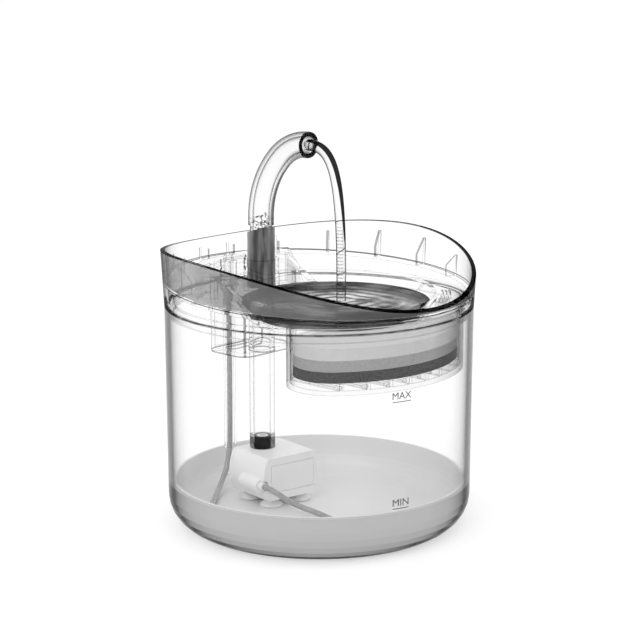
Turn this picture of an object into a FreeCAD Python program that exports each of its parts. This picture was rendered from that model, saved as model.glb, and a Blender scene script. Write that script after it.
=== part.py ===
import FreeCAD, Part

import math
import os

# Pet water fountain: a clear round tank, a clear drinking tray on top of it, a bent clear spout,
# a submerged pump with its riser tube, and a filter box under the tray.
# Millimetres. +Z is up, the origin is the centre of the base, and the front faces -Y.

V = FreeCAD.Vector

# Clearances
RUN = 0.3             # between pieces that move on each other
SEAT = 0.2            # between a piece and the one it is seated in
OVER = 1.0            # how far a cut runs past the face that it opens
BEYOND = 100.0        # far enough to be outside every piece

# Tank: a clear drafted wall with a soft corner at the foot
TANK_HEIGHT = 124.8
TANK_TOP_RADIUS = 85.0
TANK_DRAFT = 0.9      # how much wider the top is than the foot, on the radius
TANK_WALL = 3.0
TANK_FLOOR = 2.5
TANK_CORNER = 19.0    # radius of the soft corner at the foot
CORNER_STEPS = 7      # straight steps that each soft corner is turned with
FOOT_LAND = 25.0        # from the tank's side to where the underside is recessed
FOOT_RADIUS = TANK_TOP_RADIUS - FOOT_LAND
FOOT_RECESS = 0.8

# White dish pressed into the foot of the tank
LINER_HEIGHT = 27.2
LINER_WALL = 1.5
LINER_FLOOR = 2.0

# Drinking tray: its ring, lip, flared wall and saddle rim
TRAY_BASE = TANK_HEIGHT + SEAT
TRAY_WALL = 2.5
TRAY_RING = 2.5
TRAY_FLARE = 0.054    # how much wider the wall gets for each millimetre up, on the radius
LIP_DEPTH = 5.0
LIP_WALL = 1.6
RIM_CREST_Y = 20.0    # the highest point of the rim lies behind the middle
RIM_FRONT_RADIUS = 240.0
RIM_REAR_RADIUS = 350.0

# Slanted floor of the tray, a little lower at the front
FLOOR_HEIGHT = TRAY_BASE + 10.6
FLOOR_SLOPE = 0.056
FLOOR_SKIN = 2.5
BOWL_DEPTH = 22.0       # from the rim's crest to the tray floor
RIM_CREST_Z = FLOOR_HEIGHT + BOWL_DEPTH

# Pool in the floor
POOL_Y = -12.0
POOL_MARGIN = 28.5      # how far the pool's edge stays inside the tank's side
POOL_LEAN = 10.5        # how much narrower its foot is, on the radius
POOL_DEPTH = 16.1
POOL_EDGE_RADIUS = TANK_TOP_RADIUS - POOL_MARGIN
POOL_FOOT_RADIUS = POOL_EDGE_RADIUS - POOL_LEAN
POOL_BOTTOM = FLOOR_HEIGHT - POOL_DEPTH
POOL_SKIN = 2.4
POOL_CORNER = 6.0

# Curved drain slots beside the pool
DRAIN_SLOTS = 3
DRAIN_PITCH = 2.0
DRAIN_WIDTH = 1.1
DRAIN_FIRST = POOL_EDGE_RADIUS + DRAIN_PITCH
DRAIN_FROM = 43.0
DRAIN_SWEEP = 28.0

# Stiffening ribs inside the tray wall, each side of the front
RIB_FIRST = 65.0
RIB_PITCH = 21.5
RIB_COUNT = 6
RIB_DEPTH = 6.0
RIB_FOOT = 6.5
RIB_THICK = 1.6
RIB_BELOW_RIM = 5.5

# Water line: pump, riser tube, coupler and spout share this axis
WATER_SETBACK = 40.5    # from the tank's side to the water line's axis
WATER_Y = TANK_TOP_RADIUS - WATER_SETBACK

# Hollow platform that carries the spout, and the apron down to the pool
PLATFORM_RISE = 7.9
PLATFORM_TOP = FLOOR_HEIGHT + PLATFORM_RISE
PLATFORM_DEPTH = 25.5       # from the water line to its back edge
PLATFORM_BACK_RADIUS = WATER_Y + PLATFORM_DEPTH
PLATFORM_BACK_HALF = 37.0
SHELF_Y = WATER_Y + 13.5
APRON_MID_HALF = 24.4       # half width where the apron meets the tray floor
APRON_MID_Y = WATER_Y - 6.8
APRON_END_HALF = 19.0       # half width at the pool
APRON_REACH = 25.5          # from the water line to the apron's end
APRON_END_Y = WATER_Y - APRON_REACH
APRON_DROP = 4.6
APRON_END_HEIGHT = FLOOR_HEIGHT - APRON_DROP
PLATFORM_SKIN = 2.2
SKIRT_BOTTOM = TRAY_BASE - 1.2

# Well under the platform, round the riser tube
WELL_HALF = 23.0
WELL_FRONT = WATER_Y - 9.5
WELL_BACKSET = 22.5         # from the water line to the well's back
WELL_BACK = WATER_Y + WELL_BACKSET
WELL_DEPTH = 52.5
WELL_BOTTOM = PLATFORM_TOP - WELL_DEPTH
WELL_WALL = 2.0
WELL_CORNER = 8.0
WELL_DRAIN_HALF = 13.0      # half width of the drain window
WELL_DRAIN_FRONT = WATER_Y + 11.0
WELL_DRAIN_BACK = WATER_Y + 18.0

# Tubes of the water line, and the socket in the platform
TUBE_OUTER = 14.6
TUBE_BORE = 9.6
SPIGOT_OUTER = 12.6
RISER_TOP = PLATFORM_TOP - 1.1
COUPLER_OUTER = 15.5
COUPLER_SUNK = 15.2
COUPLER_PROUD = 17.0
COUPLER_FOOT = PLATFORM_TOP - COUPLER_SUNK
COUPLER_TOP = PLATFORM_TOP + COUPLER_PROUD
COUPLER_SLANT = 0.29
SOCKET_OUTER = 20.0
SOCKET_TOP = PLATFORM_TOP + 0.4
SOCKET_LEDGE = 2.0

# Spout: a vertical leg, then two arcs that end level over the pool
SPOUT_LEG = 23.5        # straight leg above the platform
SPOUT_BEND_START = PLATFORM_TOP + SPOUT_LEG
SPOUT_REACH = 36.1
SPOUT_RISE = 44.0
SPOUT_TIP_RADIUS = 30.0
NOZZLE_LENGTH = 7.0
NOZZLE_BORE = 6.4
NOZZLE_FLANGE = 1.2

# Pump, in its own frame: the outlet is at x = y = 0, then the pump is turned on the water line
PUMP_TURN = -9.0
PUMP_LEFT = -13.6
PUMP_RIGHT = 20.4
PUMP_FRONT = -24.0
PUMP_BACK = 9.0
PUMP_BASE = 9.4
PUMP_TOP = 34.0
PUMP_BULGE = 3.5
PUMP_ROUND = 2.0
PUMP_WALL = 2.0
NIPPLE_OUTER = 6.6
NIPPLE_BORE = 4.4
BUSH_HEIGHT = 7.0

# Pump rotor, on a level axle that points to the back of the pump
ROTOR_X = 3.4
CHAMBER_RADIUS = 9.6
CHAMBER_DEPTH = 9.4
ROTOR_RADIUS = 6.0
ROTOR_LENGTH = 9.0
BLADE_COUNT = 6
BLADE_THICK = 1.2
AXLE_RADIUS = 1.0
AXLE_BUSH_RADIUS = 2.4
AXLE_BUSH_LENGTH = 2.0
AXLE_PLAY = 0.08
HUB_RADIUS = 2.4
BLADE_RADIUS = 8.8
ROTOR_DISC = 1.0
COVER_THICK = 2.2
INLET_SLOTS = 7
INLET_SLOT_WIDTH = 1.2
INLET_SLOT_PITCH = 2.6
INLET_RADIUS = 8.6

# Motor parts potted in the front half of the pump
CORE_THICK = 3.2
CORE_HEIGHT = 10.0
CORE_FRONT = -20.2
CORE_BACK = -5.0
COIL_WIRE = 1.7
POCKET_HEIGHT = 16.0
WELL_SHELL = 1.4
END_PLATE = 2.0

# Suction cups under the pump
CUP_RADIUS = 6.5
CUP_SKIN = 1.0
CUP_HOLLOW = 0.8
CUP_STEM_RADIUS = 2.0
CUP_STEM = 2.8
CUP_INSET = 7.0

# Gland on the pump's left side, where the lead comes out
GLAND_X = -16.5
GLAND_Z = 18.7
GLAND_BARREL = 4.3
GLAND_BORE = 3.0
GLAND_START = -5.0
GLAND_DEPTH = 8.0
GLAND_NOSE = 2.4

# Lead, its guide tube at the back and the connector in the guide's mouth
LEAD_DIAMETER = 3.2
GUIDE_SETBACK = 26.5
GUIDE_Y = WATER_Y + GUIDE_SETBACK
GUIDE_OUTER = 7.0
GUIDE_BORE = 4.7
GUIDE_FOOT = 11.0
GUIDE_WINDOW = 18.0
GUIDE_SHOULDER = TRAY_BASE - 2 * SEAT
NECK_OUTER = 5.2
NECK_BORE = 3.6
NECK_TOP = PLATFORM_TOP - 1.5
BOSS_WALL = 1.7
CONNECTOR_LENGTH = 9.0
LEAD_START = 8.0      # straight run out of the gland
# Points of the lead's route after that, their y measured from the water line: down to the floor,
# round the left wall and up the guide
LEAD_ROUTE = [(-14.5, -38.0, 11.0), (-7.0, -55.0, 6.4), (-14.0, -80.0, 6.3), (-38.0, -88.0, 6.4),
              (-58.0, -66.0, 6.3), (-61.0, -32.0, 6.4), (-47.0, -3.0, 6.3), (-16.0, 20.5, 6.6),
              (-1.0, 26.2, 21.0), (0.1, 26.55, 48.0)]
ARC_SHARE = 0.45

# Filter box under the front of the tray: half-moon in plan
BOX_GAP = 2.5         # round the box, inside the tank
BOX_RADIUS = TANK_TOP_RADIUS - TANK_WALL - BOX_GAP
BOX_CORNER = 24.0
BOX_SETBACK = 6.5     # how far its straight side stays in front of the pool's middle
BOX_CHORD_Y = POOL_Y - BOX_SETBACK
BOX_HANG = 27.5       # how far it hangs below the pool
BOX_BOTTOM = POOL_BOTTOM - BOX_HANG
BOX_WALL = 2.0
BOX_RIB_HEIGHT = 3.6
BOX_RIB_PITCH = 12.0
BOX_RIB_THICK = 1.6
BOX_SLOT_WIDTH = 3.0

# Filter layers, from the bottom up
LAYER_INSET = 3.5
LAYERS_LOW = BOX_BOTTOM + BOX_WALL + BOX_RIB_HEIGHT + SEAT
CARBON_THICK = 5.9
RESIN_THICK = 6.0
COTTON_THICK = 6.5


def disc(radius, low, high, x=0.0, y=0.0):
    return Part.makeCylinder(radius, high - low, V(x, y, low))


def tube(outer, inner, low, high, x=0.0, y=0.0):
    return disc(outer, low, high, x, y).cut(disc(inner, low - OVER, high + OVER, x, y))


def block(x0, x1, y0, y1, z0, z1):
    return Part.makeBox(x1 - x0, y1 - y0, z1 - z0, V(x0, y0, z0))


def prism(wire, low, high):
    """Upright prism on a closed wire drawn at z = 0."""
    face = Part.Face(wire)
    face.translate(V(0, 0, low))
    return face.extrude(V(0, 0, high - low))


def side_prism(points, half):
    """Prism along X on a closed outline of (y, z) points."""
    loop = [V(-half, y, z) for y, z in points]
    return Part.Face(Part.makePolygon(loop + loop[:1])).extrude(V(2 * half, 0, 0))


def turned(points, x=0.0, y=0.0):
    """Solid of revolution about the upright axis at x, y from (radius, z) points."""
    loop = [V(x + r, y, z) for r, z in points]
    face = Part.Face(Part.makePolygon(loop + loop[:1]))
    return face.revolve(V(x, y, 0), V(0, 0, 1), 360)


def round_edges(shape, radius, wanted):
    """Fillet the edges that wanted(edge) picks."""
    return shape.makeFillet(radius, [edge for edge in shape.Edges if wanted(edge)])


def is_upright(edge):
    first = edge.Vertexes[0].Point
    last = edge.Vertexes[-1].Point
    return abs(first.x - last.x) < 1e-4 and abs(first.y - last.y) < 1e-4 and abs(first.z - last.z) > 1e-4


def is_level_at(height):
    return lambda edge: all(abs(vertex.Z - height) < 1e-4 for vertex in edge.Vertexes)


def tank_radius(z):
    return TANK_TOP_RADIUS - TANK_DRAFT * (1 - z / TANK_HEIGHT)


def dish_side(inset, rise, top):
    """Points (radius, z) up the tank's side, drawn inwards by inset, from a floor at rise."""
    corner = TANK_CORNER - inset
    centre_z = rise + corner
    centre_r = tank_radius(centre_z) - TANK_CORNER
    points = []
    for step in range(CORNER_STEPS + 1):
        turn = math.radians(90.0 * step / CORNER_STEPS)
        points.append((centre_r + corner * math.sin(turn), centre_z - corner * math.cos(turn)))
    return points + [(tank_radius(top) - inset, top)]


def dish(outer_inset, outer_rise, wall, floor, top, recess=0.0):
    """A dish that follows the tank's side, with its own wall and floor."""
    outer = dish_side(outer_inset, outer_rise, top)
    inner = dish_side(outer_inset + wall, outer_rise + floor, top)
    foot = [(0, outer_rise + recess)]
    if recess:
        foot += [(FOOT_RADIUS, outer_rise + recess), (FOOT_RADIUS + recess, outer_rise)]
    return turned(foot + outer + inner[::-1] + [(0, outer_rise + floor)])


def tank():
    return dish(0.0, 0.0, TANK_WALL, TANK_FLOOR, TANK_HEIGHT, FOOT_RECESS)


def base_liner():
    return dish(TANK_WALL + SEAT, TANK_FLOOR, LINER_WALL, LINER_FLOOR, LINER_HEIGHT)


def floor_top(y):
    return FLOOR_HEIGHT + FLOOR_SLOPE * y


def floor_under(y):
    return floor_top(y) - FLOOR_SKIN


def wall_inside(z):
    """Inner radius of the tray wall at height z."""
    return TANK_TOP_RADIUS - TRAY_WALL + TRAY_FLARE * (z - TRAY_BASE)


def rim_height(y):
    radius = RIM_FRONT_RADIUS if y < RIM_CREST_Y else RIM_REAR_RADIUS
    return RIM_CREST_Z - radius + math.sqrt(radius ** 2 - (y - RIM_CREST_Y) ** 2)


def above_rim():
    """The space over the saddle rim, which the wall is cut with."""

    def on_rim(y):
        return V(-BEYOND, y, rim_height(y))

    sky = RIM_CREST_Z + BEYOND
    front = Part.Arc(on_rim(-BEYOND), on_rim((RIM_CREST_Y - BEYOND) / 2), on_rim(RIM_CREST_Y)).toShape()
    rear = Part.Arc(on_rim(RIM_CREST_Y), on_rim((RIM_CREST_Y + BEYOND) / 2), on_rim(BEYOND)).toShape()
    over = Part.makePolygon([on_rim(BEYOND), V(-BEYOND, BEYOND, sky), V(-BEYOND, -BEYOND, sky),
                             on_rim(-BEYOND)]).Edges
    return Part.Face(Part.Wire([front, rear] + over)).extrude(V(2 * BEYOND, 0, 0))


def tray_wall():
    """Seating ring, the lip inside the tank and the flared wall, cut to the saddle rim."""
    outer = TANK_TOP_RADIUS
    lip_outer = tank_radius(TANK_HEIGHT - LIP_DEPTH) - TANK_WALL - RUN
    lip_inner = lip_outer - LIP_WALL
    ring_top = TRAY_BASE + TRAY_RING
    top = RIM_CREST_Z + OVER
    ring = turned([(lip_inner, TRAY_BASE - LIP_DEPTH), (lip_outer, TRAY_BASE - LIP_DEPTH),
                   (lip_outer, TRAY_BASE), (outer, TRAY_BASE), (wall_inside(top) + TRAY_WALL, top),
                   (wall_inside(top), top), (wall_inside(ring_top), ring_top), (lip_inner, ring_top)])
    return ring.cut(above_rim())


def tilted(y0, y1, lift, drop):
    """Slab that follows the tray floor, from lift over its top face to drop below it."""
    return side_prism([(y0, floor_top(y0) + lift), (y1, floor_top(y1) + lift),
                       (y1, floor_top(y1) - drop), (y0, floor_top(y0) - drop)], BEYOND)


def pool_cone(grow, bottom):
    """The pool's space, grown by grow on every side: a rounded cone that runs on past the floor."""
    slope = (POOL_EDGE_RADIUS - POOL_FOOT_RADIUS) / (floor_top(POOL_Y) - POOL_BOTTOM)
    top = RIM_CREST_Z
    radius = POOL_EDGE_RADIUS + slope * (top - floor_top(POOL_Y)) + grow
    foot = POOL_FOOT_RADIUS + grow - slope * (POOL_BOTTOM - bottom)
    cone = turned([(0, bottom), (foot, bottom), (radius, top), (0, top)], 0, POOL_Y)
    return round_edges(cone, POOL_CORNER, lambda edge: is_level_at(bottom)(edge) and edge.Length > foot)


def pool_inside():
    return pool_cone(0.0, POOL_BOTTOM)


def pool_outside(gap=0.0):
    return pool_cone(POOL_SKIN + gap, POOL_BOTTOM - POOL_SKIN - gap)


def platform_plan(inset=0.0):
    """Outline of the platform and apron seen from above: an arc at the back, drawn in to the pool."""
    back_y = math.sqrt(PLATFORM_BACK_RADIUS ** 2 - PLATFORM_BACK_HALF ** 2)
    left = V(-PLATFORM_BACK_HALF, back_y, 0)
    right = V(PLATFORM_BACK_HALF, back_y, 0)
    back = Part.Arc(left, V(0, PLATFORM_BACK_RADIUS, 0), right).toShape()
    sides = Part.makePolygon([right, V(APRON_MID_HALF, APRON_MID_Y, 0), V(APRON_END_HALF, APRON_END_Y, 0),
                              V(-APRON_END_HALF, APRON_END_Y, 0), V(-APRON_MID_HALF, APRON_MID_Y, 0),
                              left]).Edges
    wire = Part.Wire([back] + sides)
    return wire.makeOffset2D(-inset) if inset else wire


def apron_height(y):
    slope = (PLATFORM_TOP - APRON_END_HEIGHT) / (SHELF_Y - APRON_END_Y)
    return min(PLATFORM_TOP, APRON_END_HEIGHT + slope * (y - APRON_END_Y))


def under_apron(drop):
    """Everything below the platform's top surface lowered by drop."""
    low = WELL_BOTTOM - OVER
    front = APRON_END_Y - PLATFORM_BACK_HALF
    return side_prism([(front, apron_height(front) - drop), (SHELF_Y, PLATFORM_TOP - drop),
                       (BEYOND, PLATFORM_TOP - drop), (BEYOND, low), (front, low)], BEYOND)


def platform_skin(tray_mass):
    high = PLATFORM_TOP + OVER
    outer = prism(platform_plan(), WELL_BOTTOM, high).common(under_apron(0.0))
    inner = prism(platform_plan(PLATFORM_SKIN), WELL_BOTTOM - OVER, high).common(under_apron(PLATFORM_SKIN))
    return outer.cut(inner).common(tray_mass), inner


def rounded_plan(half, y0, y1, corner):
    """Rectangle with round corners, as a prism would be drawn on it."""
    box = block(-half, half, y0, y1, WELL_BOTTOM, PLATFORM_TOP)
    return round_edges(box, corner, is_upright)


def well():
    """Box round the riser tube, open to the platform above, with a floor and a drain window."""
    outer = rounded_plan(WELL_HALF, WELL_FRONT, WELL_BACK, WELL_CORNER)
    inner = rounded_plan(WELL_HALF - WELL_WALL, WELL_FRONT + WELL_WALL, WELL_BACK - WELL_WALL,
                         WELL_CORNER - WELL_WALL)
    inner.translate(V(0, 0, WELL_WALL))
    window = block(-WELL_DRAIN_HALF, WELL_DRAIN_HALF, WELL_DRAIN_FRONT, WELL_DRAIN_BACK,
                   WELL_BOTTOM - OVER, WELL_BOTTOM + WELL_WALL + OVER)
    window = round_edges(window, (WELL_DRAIN_BACK - WELL_DRAIN_FRONT) / 2.1, is_upright)
    return outer.cut(inner).cut(window).common(under_apron(PLATFORM_SKIN / 2))


def drain_slots():
    """Concentric curved slots in the tray floor, on both sides of the pool."""
    slots = []
    for count in range(DRAIN_SLOTS):
        radius = DRAIN_FIRST + DRAIN_PITCH * count
        inner = radius - DRAIN_WIDTH / 2
        outer = radius + DRAIN_WIDTH / 2
        low = TRAY_BASE + TRAY_RING
        high = FLOOR_HEIGHT + OVER
        strip = Part.Face(Part.makePolygon([V(inner, 0, low), V(outer, 0, low), V(outer, 0, high),
                                            V(inner, 0, high), V(inner, 0, low)]))
        for start in (-DRAIN_FROM - DRAIN_SWEEP, 180 + DRAIN_FROM):
            slot = strip.revolve(V(0, 0, 0), V(0, 0, 1), DRAIN_SWEEP)
            slot.rotate(V(0, 0, 0), V(0, 0, 1), start)
            slot.translate(V(0, POOL_Y, 0))
            slots.append(slot)
    return slots


def rib(angle):
    """Triangular stiffener between the tray floor and its wall, angle from the front."""
    direction = math.radians(angle)
    y = -wall_inside(FLOOR_HEIGHT) * math.cos(direction)
    bottom = floor_top(y) - FLOOR_SKIN / 2
    foot = floor_top(y) + RIB_FOOT
    top = rim_height(y) - RIB_BELOW_RIM
    low_edge = wall_inside(bottom)
    high_edge = wall_inside(top)
    grip = TRAY_WALL / 3
    loop = [V(low_edge - RIB_DEPTH, 0, bottom), V(low_edge + grip, 0, bottom), V(high_edge + grip, 0, top),
            V(high_edge - OVER, 0, top), V(low_edge - RIB_DEPTH, 0, foot)]
    shape = Part.Face(Part.makePolygon(loop + loop[:1])).extrude(V(0, RIB_THICK, 0))
    shape.translate(V(0, -RIB_THICK / 2, 0))
    shape.rotate(V(0, 0, 0), V(0, 0, 1), angle - 90)
    return shape


def drinking_tray():
    reach = wall_inside(FLOOR_HEIGHT) + TRAY_WALL / 3
    column = disc(reach, TRAY_BASE, PLATFORM_TOP)
    floor = tilted(-BEYOND, BEYOND, 0.0, FLOOR_SKIN).common(column)
    bowl = pool_outside().cut(tilted(-BEYOND, BEYOND, BEYOND, 0.0))
    skirts = prism(platform_plan(), SKIRT_BOTTOM, PLATFORM_TOP)
    mass = tilted(-BEYOND, BEYOND, BEYOND, FLOOR_SKIN).fuse([pool_outside(), skirts])
    skin, hollow = platform_skin(mass)
    body = floor.fuse(bowl).cut(pool_inside()).cut(hollow)
    body = body.fuse([skin, tray_wall(), well()])
    socket_bore = COUPLER_OUTER / 2 + RUN
    riser_hole = TUBE_OUTER / 2 + RUN
    ledge = COUPLER_FOOT - RUN
    body = body.fuse(disc(SOCKET_OUTER / 2, ledge - SOCKET_LEDGE, SOCKET_TOP, 0, WATER_Y))
    body = body.fuse(disc(NECK_OUTER / 2 + RUN + BOSS_WALL, TRAY_BASE, floor_top(GUIDE_Y), 0, GUIDE_Y))
    for count in range(RIB_COUNT):
        for side in (1, -1):
            body = body.fuse(rib(side * (RIB_FIRST + RIB_PITCH * count)))
    holes = [disc(socket_bore, ledge, SOCKET_TOP + OVER, 0, WATER_Y),
             disc(riser_hole, WELL_BOTTOM - OVER, ledge + OVER, 0, WATER_Y),
             disc(NECK_OUTER / 2 + RUN, TRAY_BASE - OVER, PLATFORM_TOP, 0, GUIDE_Y),
             disc(GUIDE_OUTER / 2 + RUN, SKIRT_BOTTOM - OVER, GUIDE_SHOULDER + SEAT, 0, GUIDE_Y)]
    return body.cut(holes + drain_slots()).removeSplitter()


def riser_tube():
    foot = PUMP_TOP + SEAT
    shoulder = COUPLER_FOOT - 2 * RUN
    body = disc(TUBE_OUTER / 2, foot, shoulder, 0, WATER_Y)
    body = body.fuse(disc(SPIGOT_OUTER / 2, shoulder, RISER_TOP, 0, WATER_Y))
    return body.cut(disc(TUBE_BORE / 2, foot - OVER, RISER_TOP + OVER, 0, WATER_Y))


def spout_shoulder():
    """Height of the spout's shoulder: just over the highest point of the coupler's slanted top."""
    return COUPLER_TOP + COUPLER_SLANT * COUPLER_OUTER / 2 + RUN


def faucet_coupler():
    high = spout_shoulder()
    sleeve = tube(COUPLER_OUTER / 2, SPIGOT_OUTER / 2 + RUN, COUPLER_FOOT, high, 0, WATER_Y)
    near = WATER_Y - COUPLER_OUTER
    far = WATER_Y + COUPLER_OUTER
    slant = side_prism([(near, COUPLER_TOP + COUPLER_SLANT * COUPLER_OUTER), (near, high + OVER),
                        (far, high + OVER), (far, COUPLER_TOP - COUPLER_SLANT * COUPLER_OUTER)],
                       COUPLER_OUTER)
    return sleeve.cut(slant)


def spout_bend():
    """Radius of the wide arc and the turn where it meets the tip arc, from the reach and the rise."""
    turn = 2 * math.atan2(SPOUT_REACH - SPOUT_TIP_RADIUS, SPOUT_RISE - SPOUT_TIP_RADIUS)
    wide = SPOUT_TIP_RADIUS + (SPOUT_RISE - SPOUT_TIP_RADIUS) / math.sin(turn)
    return wide, turn


def bent_bar(radius, low):
    """Round bar along the spout: a vertical leg from low, a wide arc, then a tighter arc that ends level."""
    wide, turn = spout_bend()
    outward = V(0, math.cos(turn), math.sin(turn))
    wide_centre = V(0, WATER_Y - wide, SPOUT_BEND_START)
    joint = wide_centre + outward * wide
    tip_centre = joint - outward * SPOUT_TIP_RADIUS
    leg = disc(radius, low, SPOUT_BEND_START, 0, WATER_Y)
    first = Part.Face(Part.Wire(Part.makeCircle(radius, V(0, WATER_Y, SPOUT_BEND_START), V(0, 0, 1))))
    along = V(0, -math.sin(turn), math.cos(turn))
    second = Part.Face(Part.Wire(Part.makeCircle(radius, joint, along)))
    lower = first.revolve(wide_centre, V(1, 0, 0), math.degrees(turn))
    upper = second.revolve(tip_centre, V(1, 0, 0), 90 - math.degrees(turn))
    return leg.fuse([lower, upper])


def spout_tube():
    shoulder = spout_shoulder()
    foot = RISER_TOP + 2 * RUN
    outer = bent_bar(TUBE_OUTER / 2, shoulder)
    outer = outer.fuse(disc(SPIGOT_OUTER / 2, foot, shoulder, 0, WATER_Y))
    return outer.cut(bent_bar(TUBE_BORE / 2, foot - OVER)).removeSplitter()


def spout_nozzle():
    """Flow straightener pushed into the mouth of the spout, its flange against the end face."""
    mouth_y = WATER_Y - SPOUT_REACH
    mouth_z = SPOUT_BEND_START + SPOUT_RISE
    forward = V(0, -1, 0)
    flange = Part.makeCylinder(TUBE_OUTER / 2 - SEAT, NOZZLE_FLANGE, V(0, mouth_y, mouth_z), forward)
    plug = Part.makeCylinder(TUBE_BORE / 2 - SEAT, NOZZLE_FLANGE, V(0, mouth_y + NOZZLE_FLANGE, mouth_z),
                             forward)
    bore = Part.makeCylinder(NOZZLE_BORE / 2, NOZZLE_LENGTH * 3, V(0, mouth_y + NOZZLE_LENGTH, mouth_z),
                             forward)
    return flange.fuse(plug).cut(bore).removeSplitter()


def on_pump(shape):
    """Place a shape drawn in the pump's own frame on the water line, turned as the pump is."""
    shape.rotate(V(0, 0, 0), V(0, 0, 1), PUMP_TURN)
    shape.translate(V(0, WATER_Y, 0))
    return shape


def along_back(radius, front, back, x, z):
    """Round bar along the pump's own Y axis."""
    return Part.makeCylinder(radius, back - front, V(x, front, z), V(0, 1, 0))


def pump_middle():
    return (PUMP_BASE + PUMP_TOP) / 2


def cover_face():
    """Where the cover meets the housing, at the open side of the rotor chamber."""
    return PUMP_BACK - COVER_THICK


def chamber_front():
    return cover_face() - CHAMBER_DEPTH


def well_end():
    """Bottom of the rotor's well, where the front bush of the axle sits."""
    return chamber_front() - ROTOR_LENGTH


def back_bush_front():
    return cover_face() - AXLE_BUSH_LENGTH


def pump_block(front, back, inset=0.0):
    """Length of the pump's section: a box whose left side bulges outwards, with round long corners."""
    low = PUMP_BASE + inset
    high = PUMP_TOP - inset
    left = PUMP_LEFT + inset
    right = PUMP_RIGHT - inset
    bulge = Part.Arc(V(left, front, low), V(left - PUMP_BULGE, front, pump_middle()),
                     V(left, front, high)).toShape()
    rest = Part.makePolygon([V(left, front, high), V(right, front, high), V(right, front, low),
                             V(left, front, low)]).Edges
    solid = Part.Face(Part.Wire([bulge] + rest)).extrude(V(0, back - front, 0))

    def is_long_corner(edge):
        ends = [vertex.Point for vertex in edge.Vertexes]
        return abs(ends[0].y - ends[-1].y) > (back - front) / 2

    return round_edges(solid, PUMP_ROUND, is_long_corner)


def cup_centres():
    left = PUMP_LEFT + CUP_INSET
    right = PUMP_RIGHT - CUP_INSET
    front = PUMP_FRONT + CUP_INSET
    back = PUMP_BACK - CUP_INSET
    return [(left, front), (right, front), (left, back), (right, back)]


def pocket_low():
    return pump_middle() - POCKET_HEIGHT / 2


def pocket_high():
    return pump_middle() + POCKET_HEIGHT / 2


def motor_pocket():
    """Space for the coil and core, open at the front, with an arm on each side of the rotor's well."""
    left = PUMP_LEFT + PUMP_WALL
    right = PUMP_RIGHT - PUMP_WALL
    shell = ROTOR_RADIUS + RUN + WELL_SHELL
    front = block(left, right, PUMP_FRONT - OVER, well_end() - AXLE_BUSH_LENGTH - WELL_SHELL,
                  pocket_low(), pocket_high())
    arm_front = PUMP_FRONT
    arm_back = CORE_BACK + SEAT
    left_arm = block(left, ROTOR_X - shell, arm_front, arm_back, pocket_low(), pocket_high())
    right_arm = block(ROTOR_X + shell, right, arm_front, arm_back, pocket_low(), pocket_high())
    return front.fuse([left_arm, right_arm])


def pump_housing():
    middle = pump_middle()
    body = pump_block(PUMP_FRONT, cover_face() - SEAT)
    body = body.fuse(disc(NIPPLE_OUTER / 2, PUMP_TOP - OVER, PUMP_TOP + BUSH_HEIGHT))
    barrel_front = PUMP_FRONT + GLAND_NOSE
    body = body.fuse(along_back(GLAND_BARREL, barrel_front, GLAND_START, GLAND_X, GLAND_Z))
    cuts = [along_back(CHAMBER_RADIUS, chamber_front(), PUMP_BACK, ROTOR_X, middle),
            along_back(ROTOR_RADIUS + RUN, well_end(), chamber_front() + OVER, ROTOR_X, middle),
            along_back(AXLE_BUSH_RADIUS, well_end() - AXLE_BUSH_LENGTH, well_end() + OVER, ROTOR_X, middle),
            along_back(GLAND_BORE, PUMP_FRONT - OVER, barrel_front + GLAND_DEPTH, GLAND_X, GLAND_Z),
            disc(NIPPLE_BORE / 2, middle, PUMP_TOP + BUSH_HEIGHT + OVER),
            motor_pocket()]
    for x, y in cup_centres():
        cuts.append(disc(CUP_STEM_RADIUS + SEAT, PUMP_BASE - OVER, PUMP_BASE + CUP_STEM + SEAT, x, y))
    return on_pump(body.cut(cuts).removeSplitter())


def pump_cover():
    """Cover over the rotor chamber, with the inlet grille and a ring round the back bush."""
    middle = pump_middle()
    ring_inner = AXLE_BUSH_RADIUS + RUN
    cover = pump_block(cover_face(), PUMP_BACK)
    slots = []
    for count in range(INLET_SLOTS):
        offset = (count - (INLET_SLOTS - 1) / 2) * INLET_SLOT_PITCH
        half = math.sqrt(INLET_RADIUS ** 2 - offset ** 2)
        slots.append(block(ROTOR_X - half, ROTOR_X + half, cover_face() - OVER, PUMP_BACK + OVER,
                           middle + offset - INLET_SLOT_WIDTH / 2, middle + offset + INLET_SLOT_WIDTH / 2))
    hub = along_back(ring_inner + OVER, cover_face() - AXLE_BUSH_LENGTH / 2, PUMP_BACK, ROTOR_X, middle)
    seat = along_back(ring_inner, cover_face() - OVER * 2, cover_face() + RUN, ROTOR_X, middle)
    return on_pump(cover.cut(slots).fuse(hub).cut(seat).removeSplitter())


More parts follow.
